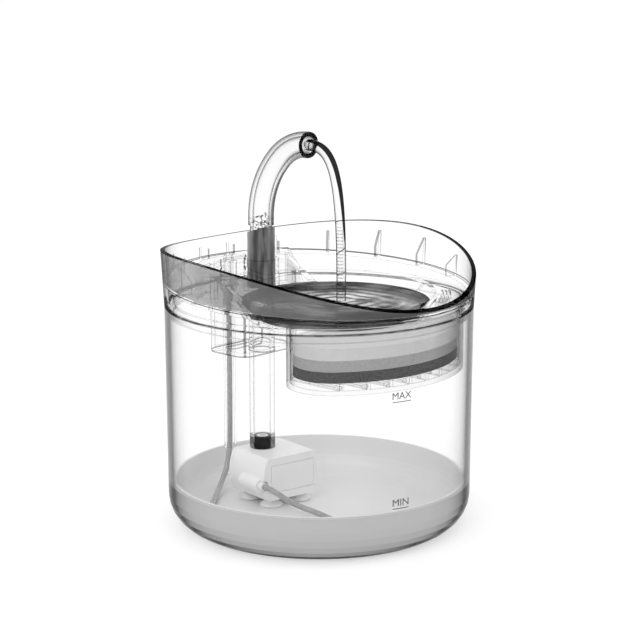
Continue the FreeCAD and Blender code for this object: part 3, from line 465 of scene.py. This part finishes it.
lead_curve.use_fill_caps = True
points = [lead_mouth, lead_mouth + lead_ahead * LEAD_AHEAD] + [Vector(p) * MM for p in LEAD_ROUTE]
spline = lead_curve.splines.new("NURBS")
spline.points.add(len(points) - 1)
for point, place in zip(spline.points, points):
    point.co = (*place, 1.0)
spline.order_u = 3
spline.use_endpoint_u = True
lead = bpy.data.objects.new("pump_lead_cable", lead_curve)
scene.collection.objects.link(lead)
lead_sheath = bpy.data.materials.new("lead_sheath")
tree = Tree(lead_sheath)
scuff = mottle(tree, scale=400.0, detail=4.0)
end_in(tree, tree.add("ShaderNodeBsdfPrincipled", {"Base Color": spread(tree, scuff, *SHEATH_LEVELS),
                                                   "Roughness": spread(tree, scuff, *SHEATH_ROUGHNESS),
                                                   "Coat Weight": SHEATH_COAT,
                                                   "Coat Roughness": SHEATH_COAT_ROUGHNESS}))
lead_curve.materials.append(lead_sheath)
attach(lead, "tray")
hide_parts("pump_lead")
dress(["lead_connector"], moulded("connector_grey", level=0.55, roughness=0.4))


# The drinking tray: one clear moulding with a flared wall, a sloping floor, a round pool, drain
# slots, ribs and the platform for the spout. Painted shade: its outline is painted darker by the angle
# it is seen at, the outer face of its wall is painted grey from the floor up to the rim and darker to
# the front, and its rim, its seams, its sharp edges, its ribs and the corners and foot of its well are
# painted as fine dark lines.
TRAY_IOR = 1.01
TRAY_BASE = 125.0 * MM
FLOOR_HEIGHT = 135.6 * MM
FLOOR_SLOPE = 0.056
RIM_CREST = 157.6 * MM
RIM_CREST_Y = 20.0 * MM
RIM_FRONT_RADIUS = 240.0 * MM
RIM_REAR_RADIUS = 350.0 * MM
RIB_ROOM = 75.0 * MM
WALL_FACE = 82.9 * MM
WELL_HALF = 23.0 * MM
WELL_Y = 51.0 * MM
WELL_DEEP = 16.0 * MM
WELL_CORNER = 8.0 * MM
WELL_BOTTOM = 91.0 * MM
STEEP_OUTLINE_SHADE = [(0.0, 0.985), (0.50, 0.95), (0.70, 0.75), (0.85, 0.30), (1.0, 0.05)]
NEAR_OUTLINE_SHADE = [(0.0, 0.985), (0.50, 0.93), (0.68, 0.72), (0.80, 0.35), (0.88, 0.08), (1.0, 0.02)]
LEVEL_OUTLINE_SHADE = [(0.0, 0.985), (0.80, 0.97), (0.88, 0.80), (1.0, 0.30)]
WALL_SHADE_STARTS = (1.0 * MM, 1.6 * MM)
WALL_SHADE_FRONT = (-78.0 * MM, 0.15)
WALL_SHADE_BACK = (60.0 * MM, 0.50)
SHADED_WALL_CLEARNESS = 0.5
NEAR_RIM = (0.34 * MM, 0.55 * MM, 0.02)
FAR_RIM = (0.3 * MM, 0.5 * MM, 0.12)
RIM_TOP = (0.4 * MM, 0.8 * MM, 0.35)
FLOOR_SEAM = (0.0, 0.26 * MM, 0.12 * MM)
FLOOR_SEAM_LEVEL = 0.06
BASE_SEAM = (TRAY_BASE + 0.22 * MM, 0.2 * MM, 0.1 * MM)
BASE_SEAM_LEVEL = 0.1
TRAY_EDGE_REACH = 0.65 * MM
TRAY_EDGE_LEVEL = 0.12
LEVEL_EDGE_SHARE = 0.5
WELL_CORNER_STARTS = 1.0 * MM
WELL_CORNER_LINE = (0.0, 0.8 * MM, 0.5 * MM)
WELL_CORNER_LEVEL = 0.35
WELL_FOOT_LINE = (WELL_BOTTOM + 0.4 * MM, 0.4 * MM, 0.2 * MM)
WELL_FOOT_LEVEL = 0.25
RIB_FOOT = 0.6 * MM
RIB_TURNS = (0.5, 0.6)
RIB_SIDE_LEVEL = 0.96
RIB_EDGE_LEVEL = 0.20


def blend(tree, factor, first, second):
    """The first value where the factor is 0 and the second where it is 1."""
    return tree.add("ShaderNodeMix", {"Factor": factor, "A": first, "B": second}).outputs[0]


def band(tree, value, middle, half, soft):
    """1 within half of the middle, fading out over soft."""
    off = tree.math("ABSOLUTE", tree.math("SUBTRACT", value, middle))
    return tree.span(off, half, half + soft, 1.0, 0.0)


def faces_up(tree, starts, whole):
    """0 on upright faces and 1 on level ones, by the Z of their normal."""
    return tree.span(tree.math("ABSOLUTE", axes(tree, surface_normal(tree))["Z"]), starts, whole, 0.0, 1.0)


def unit(tree, vector):
    return tree.add("ShaderNodeVectorMath", {0: vector}, operation="NORMALIZE").outputs[0]


EDGE_AGREES = (0.86, 0.985)


def moulded_edge(tree, reach):
    """1 on the sharp edges of a piece, within that reach of them."""
    softened = tree.add("ShaderNodeBevel", {"Radius": reach}, samples=4).outputs[0]
    return tree.span(dot(tree, softened, surface_normal(tree)), *EDGE_AGREES, 1.0, 0.0)


tray_clear = bpy.data.materials.new("tray_clear")
tree = Tree(tray_clear)
parts = axes(tree, place_on(tree))
outward = from_axis(tree)
radius = tree.add("ShaderNodeVectorMath", {0: outward}, operation="LENGTH").outputs["Value"]
level_face = faces_up(tree, 0.35, 0.65)
turned = turned_away(tree)
on_wall = tree.math("GREATER_THAN", radius, WALL_FACE)
near_wall = tree.math("MULTIPLY", outer_face(tree, outward), on_wall)
far_wall = tree.math("SUBTRACT", on_wall, near_wall)
# Painted shade: steep and level faces are painted darker towards their outline, by the angle they are seen
# at.
steep = blend(tree, near_wall, tree.curve(turned, STEEP_OUTLINE_SHADE), tree.curve(turned, NEAR_OUTLINE_SHADE))
tint_and_shade = blend(tree, level_face, steep, tree.curve(turned, LEVEL_OUTLINE_SHADE))

floor_height = tree.math("ADD", FLOOR_HEIGHT, tree.math("MULTIPLY", parts["Y"], FLOOR_SLOPE))
above_floor = tree.math("SUBTRACT", parts["Z"], floor_height)
# Painted shade: the outer face of the wall is painted grey from just above the floor to the rim, darker to
# the front, and made less clear.
shaded_wall = tree.math("MULTIPLY", near_wall, tree.span(above_floor, *WALL_SHADE_STARTS, 0.0, 1.0))
wall_shade = tree.span(parts["Y"], WALL_SHADE_FRONT[0], WALL_SHADE_BACK[0], WALL_SHADE_FRONT[1], WALL_SHADE_BACK[1])
tint_and_shade = tree.math("MULTIPLY", tint_and_shade, blend(tree, shaded_wall, 1.0, wall_shade))

# Painted shade: fine dark lines along the rim, on the near wall, the far wall and the rim's top.
from_crest = tree.math("SUBTRACT", parts["Y"], RIM_CREST_Y)
behind = tree.math("GREATER_THAN", from_crest, 0.0)
arc = tree.span(behind, 0.0, 1.0, RIM_FRONT_RADIUS, RIM_REAR_RADIUS)
chord = tree.math("SQRT", tree.math("SUBTRACT", tree.math("MULTIPLY", arc, arc),
                                    tree.math("MULTIPLY", from_crest, from_crest)))
rim_height = tree.math("SUBTRACT", RIM_CREST, tree.math("SUBTRACT", arc, chord))
below_rim = tree.math("SUBTRACT", rim_height, parts["Z"])
for surface, (whole, gone, level) in ((near_wall, NEAR_RIM), (far_wall, FAR_RIM), (level_face, RIM_TOP)):
    rim_line = tree.math("MULTIPLY", surface, tree.span(below_rim, whole, gone, 1.0, 0.0))
    tint_and_shade = shade(tree, tint_and_shade, rim_line, level)

# Painted shade: fine dark lines where the floor and the base meet the wall.
floor_seam = tree.math("MULTIPLY", on_wall, band(tree, above_floor, *FLOOR_SEAM))
tint_and_shade = shade(tree, tint_and_shade, floor_seam, FLOOR_SEAM_LEVEL)
base_seam = tree.math("MULTIPLY", on_wall, band(tree, parts["Z"], *BASE_SEAM))
tint_and_shade = shade(tree, tint_and_shade, base_seam, BASE_SEAM_LEVEL)
# Painted shade: fine dark lines along the sharp edges, fainter on level faces.
edges = tree.math("MULTIPLY", moulded_edge(tree, TRAY_EDGE_REACH),
                  tree.span(level_face, 0.0, 1.0, 1.0, LEVEL_EDGE_SHARE))
tint_and_shade = shade(tree, tint_and_shade, edges, TRAY_EDGE_LEVEL)

# Painted shade: fine dark lines down the well's rounded corners and along its foot.
across = tree.math("SUBTRACT", tree.math("ABSOLUTE", parts["X"]), WELL_HALF - WELL_CORNER)
from_well = tree.math("ABSOLUTE", tree.math("SUBTRACT", parts["Y"], WELL_Y))
along = tree.math("SUBTRACT", from_well, WELL_DEEP - WELL_CORNER)
in_corner = tree.math("MULTIPLY", tree.math("GREATER_THAN", along, WELL_CORNER_STARTS),
                      tree.math("LESS_THAN", along, WELL_CORNER))
diagonal = band(tree, tree.math("SUBTRACT", across, along), *WELL_CORNER_LINE)
in_corner = tree.math("MULTIPLY", in_corner, diagonal)
in_corner = tree.math("MULTIPLY", in_corner, tree.math("LESS_THAN", parts["Z"], TRAY_BASE))
tint_and_shade = shade(tree, tint_and_shade, in_corner, WELL_CORNER_LEVEL)
well_foot = tree.math("MULTIPLY", band(tree, parts["Z"], *WELL_FOOT_LINE), inverse(tree, level_face))
tint_and_shade = shade(tree, tint_and_shade, well_foot, WELL_FOOT_LEVEL)

# Painted shade: the ribs are nearly clear, with the faces along their edges painted dark.
in_ribs = tree.math("MULTIPLY", tree.math("GREATER_THAN", radius, RIB_ROOM),
                    tree.math("LESS_THAN", radius, WALL_FACE))
in_ribs = tree.math("MULTIPLY", in_ribs, tree.math("GREATER_THAN", above_floor, RIB_FOOT))
radial = tree.math("ABSOLUTE", dot(tree, unit(tree, outward), surface_normal(tree)))
rib_edge = tree.span(radial, *RIB_TURNS, 0.0, 1.0)
tint_and_shade = blend(tree, in_ribs, tint_and_shade, tree.span(rib_edge, 0.0, 1.0, RIB_SIDE_LEVEL, RIB_EDGE_LEVEL))
finish_clear(tree, tint_and_shade, TRAY_IOR, clearness=tree.span(shaded_wall, 0.0, 1.0, 1.0, SHADED_WALL_CLEARNESS))
dress(["drinking_tray"], tray_clear)


# The water in the pool: it lies against the bowl's sides and rings spread over its surface from
# where the stream comes down. Its sides are dark grey. Painted reflections: its surface is painted
# darker where it is seen at a low angle, in lighter and darker patches as on moving water.
POOL_IOR = 1.01
POOL_Y = -12.0 * MM
POOL_BOTTOM = 119.5 * MM
POOL_FOOT = 46.0 * MM
POOL_SLOPE = 0.682
POOL_CORNER = 5.0 * MM
CORNER_CURVE = [(-1.0, 0.0), (-0.45, 0.06), (-0.1, 0.28), (0.1, 0.6)]
WATER_LEVEL = 128.0 * MM
WATER_GAP = 0.15 * MM
STREAM_LANDS = Vector((0.0, -16.4 * MM, WATER_LEVEL))
FULL_TURN = 2 * math.pi
RING_PITCH = 8.0 * MM
RING_HEIGHT = 0.34 * MM
RING_FADE = 26.0 * MM
RING_WOBBLES = [(1.4 * MM, 3, 0.6), (0.9 * MM, 5, 2.1)]
SWELLS = [(0.10 * MM, 1.0, 0.6, 6.5 * MM), (0.08 * MM, 0.4, -1.0, 4.3 * MM)]
POOL_SIDES = 96
POOL_RINGS = 44
POOL_REFLECTION_SHADE = [(0.0, 0.9), (0.62, 0.75), (0.72, 0.35), (0.80, 0.10), (0.88, 0.012), (1.0, 0.005)]
POOL_BODY_LEVEL = 0.10
REFLECTION_PATCHES = (0.40, 0.60, 0.25, 2.2)
REFLECTION_PATCHES_SHOW = (0.45, 0.72)
WATER_PASSED = 0.98


def ripple(x, y):
    """How far the water stands above its level."""
    away = math.hypot(x - STREAM_LANDS.x, y - STREAM_LANDS.y)
    bearing = math.atan2(y - STREAM_LANDS.y, x - STREAM_LANDS.x)
    wobble = sum(size * math.sin(lobes * bearing + start) for size, lobes, start in RING_WOBBLES)
    swell = sum(size * math.sin((east * x + north * y) / pitch) for size, east, north, pitch in SWELLS)
    rings = RING_HEIGHT * math.exp(-away / RING_FADE) * math.cos(FULL_TURN * (away + wobble) / RING_PITCH)
    return rings + swell


pool_bottom = POOL_BOTTOM + WATER_GAP
pool_top_radius = POOL_FOOT + POOL_SLOPE * (WATER_LEVEL - POOL_BOTTOM) - WATER_GAP
profile = [(POOL_FOOT + out * POOL_CORNER, pool_bottom + up * POOL_CORNER) for out, up in CORNER_CURVE]
profile += [(pool_top_radius, WATER_LEVEL)]
profile += [(pool_top_radius * (1 - step / POOL_RINGS), None) for step in range(1, POOL_RINGS)]
shape = bmesh.new()
rings = []
for reach, height in profile:
    ring = []
    for side in range(POOL_SIDES):
        angle = FULL_TURN * side / POOL_SIDES
        x = reach * math.cos(angle)
        y = POOL_Y + reach * math.sin(angle)
        z = WATER_LEVEL + ripple(x, y) if height is None else height
        ring.append(shape.verts.new((x, y, z)))
    rings.append(ring)
for lower, upper in zip(rings, rings[1:]):
    for side in range(POOL_SIDES):
        after = (side + 1) % POOL_SIDES
        shape.faces.new((lower[side], lower[after], upper[after], upper[side]))
shape.faces.new(rings[0][::-1])
shape.faces.new(rings[-1])
bmesh.ops.recalc_face_normals(shape, faces=shape.faces)
pool_mesh = bpy.data.meshes.new("pool_water")
shape.to_mesh(pool_mesh)
shape.free()
pool_mesh.shade_smooth()
pool_water = bpy.data.objects.new("pool_water", pool_mesh)
scene.collection.objects.link(pool_water)
pool_water_and_reflection = bpy.data.materials.new("pool_water")
tree = Tree(pool_water_and_reflection)
# Painted reflections: the surface is painted darker at low angles, in lighter and darker patches.
turned = turned_away(tree)
reflection_patches = tree.span(mottle(tree, scale=48.0, detail=2.0), *REFLECTION_PATCHES)
reflection_patches = tree.math("SUBTRACT", reflection_patches, 1.0)
reflection_patches = tree.math("MULTIPLY", reflection_patches, tree.span(turned, *REFLECTION_PATCHES_SHOW, 0.0, 1.0))
painted_reflection = tree.math("MULTIPLY", tree.curve(turned, POOL_REFLECTION_SHADE), tree.math("ADD", reflection_patches, 1.0))
body = blend(tree, faces_up(tree, 0.5, 0.8), POOL_BODY_LEVEL, painted_reflection)
finish_clear(tree, body, POOL_IOR, passed=WATER_PASSED)
pool_mesh.materials.append(pool_water_and_reflection)
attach(pool_water, "tray")


# The coupler: a short sleeve of smoky grey rubber with a slanted top. It stands in the platform's
# socket and joins the riser tube to the spout. Its colour is drawn out in upright streaks. Painted
# shade and sheen: its grey is painted in darker and lighter bands by the angle it is seen at,
# darkest at its outline.
COUPLER_TONE_AND_SHEEN = [(0.0, 0.17), (0.35, 0.10), (0.6, 0.17), (0.8, 0.06), (1.0, 0.03)]
STREAK_DRAW = (1.0, 1.0, 0.12)
STREAKS = (0.36, 0.64, 0.35, 1.9)
RUBBER_ROUGHNESS = 0.28
RUBBER_IOR = 1.4
RUBBER_CLEARNESS = 0.15
coupler_grey = bpy.data.materials.new("coupler_grey")
tree = Tree(coupler_grey)
drawn_out = tree.add("ShaderNodeMapping", {"Vector": place_on(tree), "Scale": STREAK_DRAW}).outputs[0]
streak = tree.add("ShaderNodeTexNoise", {"Vector": drawn_out, "Scale": 330.0, "Detail": 3.0}).outputs[0]
# Painted shade and sheen: darker and lighter bands by the angle of view, darkest at the outline.
tone_and_sheen = tree.math("MULTIPLY", tree.curve(turned_away(tree), COUPLER_TONE_AND_SHEEN), tree.span(streak, *STREAKS))
end_in(tree, tree.add("ShaderNodeBsdfPrincipled", {"Base Color": tone_and_sheen, "Roughness": RUBBER_ROUGHNESS,
                                                   "IOR": RUBBER_IOR,
                                                   "Transmission Weight": RUBBER_CLEARNESS}))
dress(["faucet_coupler"], coupler_grey)


# The spout and its nozzle: a bent tube of clear plastic, and a ring in its mouth. Painted shade:
# their outlines are painted dark, the inner side of the bend is painted dark, and wavy dark lines
# are painted near the spout's foot, where the thick tube bends the light.
SPOUT_IOR = 1.18
SPOUT_OUTLINE_SHADE = [(0.0, 0.975), (0.34, 0.93), (0.46, 0.55), (0.58, 0.14), (0.72, 0.03), (1.0, 0.01)]
BEND_MIDDLE = Vector((0.0, -4.6, 167.0)) * MM
BEND_RADIUS = 49.1 * MM
INNER_SIDE_LEAN = (0.55, 0.0, 0.0)
INNER_SIDE_STARTS = (0.82, 0.92)
INNER_SIDE_LEVEL = 0.05
WAVY_LINE = (165.5 * MM, 0.35 * MM, 0.25 * MM)
WAVY_HALF = 4.0 * MM
WAVY_LEVEL = 0.05
NOZZLE_OUTLINE_SHADE = [(0.0, 0.92), (0.35, 0.75), (0.6, 0.35), (1.0, 0.05)]


def tube_finish(name, stops, ior):
    """A clear tube with its outline painted dark, as painted shade."""
    material = bpy.data.materials.new(name)
    tree = Tree(material)
    finish_clear(tree, tree.curve(turned_away(tree), stops), ior)
    return material


spout_clear = bpy.data.materials.new("spout_clear")
tree = Tree(spout_clear)
place = place_on(tree)
parts = axes(tree, place)
over_bend = tree.math("SUBTRACT", parts["Y"], BEND_MIDDLE.y)
up_bend = tree.math("MAXIMUM", tree.math("SUBTRACT", parts["Z"], BEND_MIDDLE.z), 0.0)
spoke = unit(tree, tree.add("ShaderNodeCombineXYZ", {1: over_bend, 2: up_bend}).outputs[0])
middle = tree.add("ShaderNodeVectorMath", {0: spoke, 1: (BEND_RADIUS,) * 3, 2: BEND_MIDDLE},
                  operation="MULTIPLY_ADD").outputs[0]
from_middle = tree.add("ShaderNodeVectorMath", {0: place, 1: middle}, operation="SUBTRACT").outputs[0]
inward = tree.add("ShaderNodeVectorMath", {0: INNER_SIDE_LEAN, 1: spoke}, operation="SUBTRACT").outputs[0]
inward = tree.span(dot(tree, unit(tree, inward), surface_normal(tree)), *INNER_SIDE_STARTS, 0.0, 1.0)
inner_side = tree.math("MULTIPLY", outer_face(tree, from_middle), inward)
# Painted shade: the outline and the inner side of the bend are painted dark.
tint_and_shade = shade(tree, tree.curve(turned_away(tree), SPOUT_OUTLINE_SHADE), inner_side, INNER_SIDE_LEVEL)
# Painted shade: wavy dark lines near the spout's foot.
wave = spread(tree, mottle(tree, scale=230.0, detail=1.0), -WAVY_HALF, WAVY_HALF)
wavy_line = band(tree, tree.math("ADD", parts["Z"], wave), *WAVY_LINE)
finish_clear(tree, shade(tree, tint_and_shade, wavy_line, WAVY_LEVEL), SPOUT_IOR)
dress(["spout_tube"], spout_clear)
dress(["spout_nozzle"], tube_finish("nozzle_clear", NOZZLE_OUTLINE_SHADE, SPOUT_IOR))


# The riser and the cable guide: straight clear tubes below the tray, their outlines painted dark as
# painted shade. The riser's foot is painted dark, for the rubber bush inside it that its thick wall
# would magnify.
RISER_IOR = 1.12
RISER_OUTLINE_SHADE = [(0.0, 0.98), (0.42, 0.95), (0.62, 0.72), (0.80, 0.28), (1.0, 0.05)]
BUSH_TOP = 41.0 * MM
BUSH_FADE = 0.2 * MM
BUSH_LEVEL = 0.22
riser_clear = bpy.data.materials.new("riser_clear")
tree = Tree(riser_clear)
height = axes(tree, place_on(tree))["Z"]
round_bush = tree.span(height, BUSH_TOP - BUSH_FADE, BUSH_TOP + BUSH_FADE, 1.0, 0.0)
# Painted shade: the outline is painted dark, and the foot is painted dark for the magnified bush.
tint_and_shade = shade(tree, tree.curve(turned_away(tree), RISER_OUTLINE_SHADE), round_bush, BUSH_LEVEL)
finish_clear(tree, tint_and_shade, RISER_IOR)
dress(["riser_tube"], riser_clear)
dress(["cable_guide"], tube_finish("guide_clear", RISER_OUTLINE_SHADE, RISER_IOR))


# The stream: water that leaves the nozzle level and falls in an arc to the pool, breaking into
# small even rings in its lower half. Its outline and one side of it are painted dark, with dark bars
# over the rings beside that side, as painted reflection and shade. It swings with the spout.
STREAM_IOR = 1.12
STREAM_MOUTH = Vector((0.0, 8.6, 211.0)) * MM
STREAM_THROWN = Vector((0.0, -11.0, 212.0)) * MM
STREAM_TURNS = Vector((0.0, -17.1, 197.6)) * MM
BEAD_PITCH = 1.85 * MM
STREAM_SIZES = (("Mouth radius", 3.2 * MM), ("Foot radius", 2.7 * MM), ("Ring pitch", BEAD_PITCH),
                ("Ring height", 0.13 * MM), ("Rings from", 0.55), ("Rings grow over", 0.12),
                ("Bulge", 1.1 * MM))
STREAM_STEPS = 420
STREAM_SIDES = 24
BULGE_GROWS = (0.02, 0.14)
BULGE_FADES = (0.18, 0.50)
stream_nodes = bpy.data.node_groups.new("falling_water", "GeometryNodeTree")
sockets = stream_nodes.interface
sockets.new_socket("Geometry", in_out="INPUT", socket_type="NodeSocketGeometry")
size_sockets = [sockets.new_socket(label, in_out="INPUT", socket_type="NodeSocketFloat")
                for label, size in STREAM_SIZES]
sockets.new_socket("Geometry", in_out="OUTPUT", socket_type="NodeSocketGeometry")
tree = Tree(stream_nodes)
given = tree.add("NodeGroupInput").outputs
fall = tree.add("GeometryNodeCurvePrimitiveBezierSegment",
                {"Resolution": STREAM_STEPS, "Start": STREAM_MOUTH, "Start Handle": STREAM_THROWN,
                 "End Handle": STREAM_TURNS, "End": STREAM_LANDS}).outputs[0]
fallen = tree.add("GeometryNodeSplineParameter").outputs
taper = tree.span(fallen["Factor"], 0.0, 1.0, given["Mouth radius"], given["Foot radius"])
turns = tree.math("MULTIPLY", tree.math("DIVIDE", fallen["Length"], given["Ring pitch"]), FULL_TURN)
swelling = tree.math("MULTIPLY", tree.math("SINE", turns), given["Ring height"])
rings_whole = tree.math("ADD", given["Rings from"], given["Rings grow over"])
broken = tree.span(fallen["Factor"], given["Rings from"], rings_whole, 0.0, 1.0)
bulging = tree.math("MULTIPLY", tree.span(fallen["Factor"], *BULGE_GROWS, 0.0, 1.0),
                    tree.span(fallen["Factor"], *BULGE_FADES, 1.0, 0.0))
taper = tree.math("ADD", taper, tree.math("MULTIPLY", bulging, given["Bulge"]))
girth = tree.math("ADD", taper, tree.math("MULTIPLY", swelling, broken))
section = tree.add("GeometryNodeCurvePrimitiveCircle", {"Resolution": STREAM_SIDES, "Radius": 1.0}).outputs[0]
skin = tree.add("GeometryNodeCurveToMesh", {"Curve": fall, "Profile Curve": section, "Scale": girth,
                                            "Fill Caps": True}).outputs[0]
skin = tree.add("GeometryNodeRealizeInstances", {0: skin}).outputs[0]
stream_clear = bpy.data.materials.new("stream_water")
skin = tree.add("GeometryNodeSetMaterial", {"Geometry": skin, "Material": stream_clear}).outputs[0]
tree.add("NodeGroupOutput", {0: skin})
maker = bpy.data.objects.new("stream_maker", bpy.data.meshes.new("stream_maker"))
scene.collection.objects.link(maker)
modifier = maker.modifiers.new("falling_water", "NODES")
modifier.node_group = stream_nodes
for socket, (label, size) in zip(size_sockets, STREAM_SIZES):
    modifier[socket.identifier] = size
stream_mesh = bpy.data.meshes.new_from_object(maker.evaluated_get(bpy.context.evaluated_depsgraph_get()))
bpy.data.objects.remove(maker)
stream_mesh.shade_smooth()
stream = bpy.data.objects.new("water_stream", stream_mesh)
scene.collection.objects.link(stream)

STREAM_OUTLINE_SHADE = [(0.0, 0.95), (0.24, 0.85), (0.36, 0.45), (0.48, 0.10), (0.60, 0.015), (1.0, 0.005)]
DARK_SIDE_X = 0.25
DARK_SIDE_Y = -0.97
DARK_SIDE_RISES = (190.0 * MM, 212.0 * MM, 0.0, 2.4)
DARK_SIDE_NARROWS = (160.0 * MM, 202.0 * MM, 0.94, 0.50)
DARK_SIDE_STARTS = (150.0 * MM, 162.0 * MM)
DARK_SIDE_SOFT = 0.02
DARK_SIDE_LEVEL = 0.0006
BARS_SHOW = (0.1, 0.6)
BARS_END = (166.0 * MM, 176.0 * MM)
BARS_MEET_DARK = (0.75, 0.85)
BAR_LEVEL = 0.38
tree = Tree(stream_clear)
height = axes(tree, place_on(tree))["Z"]
met = from_outside(tree)
# Painted reflection and shade: the outline and one side are painted dark, and dark bars are painted over the
# rings beside that side.
flow = tree.curve(turned_away(tree), STREAM_OUTLINE_SHADE)
dark_way = tree.add("ShaderNodeCombineXYZ", {0: DARK_SIDE_X, 1: DARK_SIDE_Y,
                                             2: tree.span(height, *DARK_SIDE_RISES)}).outputs[0]
darkward = dot(tree, unit(tree, dark_way), surface_normal(tree))
from_border = tree.math("SUBTRACT", darkward, tree.span(height, *DARK_SIDE_NARROWS))
dark_side = tree.span(from_border, -DARK_SIDE_SOFT, DARK_SIDE_SOFT, 0.0, 1.0)
dark_side = tree.math("MULTIPLY", dark_side, met)
dark_side = tree.math("MULTIPLY", dark_side, tree.span(height, *DARK_SIDE_STARTS, 0.0, 1.0))
flow = shade(tree, flow, dark_side, DARK_SIDE_LEVEL)
bars = tree.math("SINE", tree.math("MULTIPLY", height, FULL_TURN / BEAD_PITCH))
bars = tree.math("MULTIPLY", tree.span(bars, *BARS_SHOW, 0.0, 1.0), tree.span(height, *BARS_END, 1.0, 0.0))
beside_dark = tree.math("MULTIPLY", met, tree.span(darkward, *BARS_MEET_DARK, 1.0, 0.0))
bars = tree.math("MULTIPLY", bars, beside_dark)
finish_clear(tree, shade(tree, flow, bars, BAR_LEVEL), STREAM_IOR, passed=WATER_PASSED)
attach(stream, "spout")
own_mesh(stream)


# The filter: a half-moon box of clear plastic that hangs under the front of the tray, its outline and
# its sharp edges painted as fine dark lines, as painted shade. It holds white cotton over grey resin
# over black carbon, each a flat layer.
BOX_IOR = 1.02
BOX_OUTLINE_SHADE = [(0.0, 0.98), (0.40, 0.90), (0.62, 0.60), (0.80, 0.25), (1.0, 0.06)]
BOX_LEVEL_TINT = 0.96
BOX_EDGE_REACH = 0.7 * MM
BOX_EDGE_LEVEL = 0.10
box_clear = bpy.data.materials.new("box_clear")
tree = Tree(box_clear)
# Painted shade: the outline is painted dark, and fine dark lines are painted at the sharp edges.
tint_and_shade = blend(tree, faces_up(tree, 0.6, 0.8), tree.curve(turned_away(tree), BOX_OUTLINE_SHADE), BOX_LEVEL_TINT)
finish_clear(tree, shade(tree, tint_and_shade, moulded_edge(tree, BOX_EDGE_REACH), BOX_EDGE_LEVEL), BOX_IOR)
dress(["filter_box"], box_clear)

LAYER_BUMP = 0.6
LAYER_RANGE = (0.2, 0.8)


def loose_layer(name, low, high, grain_size, lumps, roughness):
    """A layer of fibres or grains that vary between two greys. Lumps is the grains' share."""
    material = bpy.data.materials.new(name)
    tree = Tree(material)
    grains = tree.add("ShaderNodeTexVoronoi", {"Vector": place_on(tree), "Scale": 1.0 / grain_size})
    fluff = mottle(tree, scale=260.0, detail=5.0)
    mixed = tree.math("ADD", tree.math("MULTIPLY", grains.outputs["Distance"], lumps),
                      tree.math("MULTIPLY", fluff, 1.0 - lumps))
    bump = tree.add("ShaderNodeBump", {"Strength": LAYER_BUMP, "Distance": grain_size / 3, "Height": mixed},
                    invert=True).outputs[0]
    colour = tree.span(mixed, *LAYER_RANGE, low, high)
    end_in(tree, tree.add("ShaderNodeBsdfPrincipled", {"Base Color": colour, "Roughness": roughness,
                                                       "Normal": bump}))
    return material


cotton = loose_layer("cotton", low=0.72, high=0.62, grain_size=0.5 * MM, lumps=0.3, roughness=0.95)
resin = loose_layer("resin_layer", low=0.44, high=0.36, grain_size=0.9 * MM, lumps=0.8, roughness=0.6)
carbon = loose_layer("carbon_layer", low=0.10, high=0.07, grain_size=1.0 * MM, lumps=0.8, roughness=0.7)
dress(["filter_cotton"], cotton)
dress(["filter_resin"], resin)
dress(["filter_carbon"], carbon)
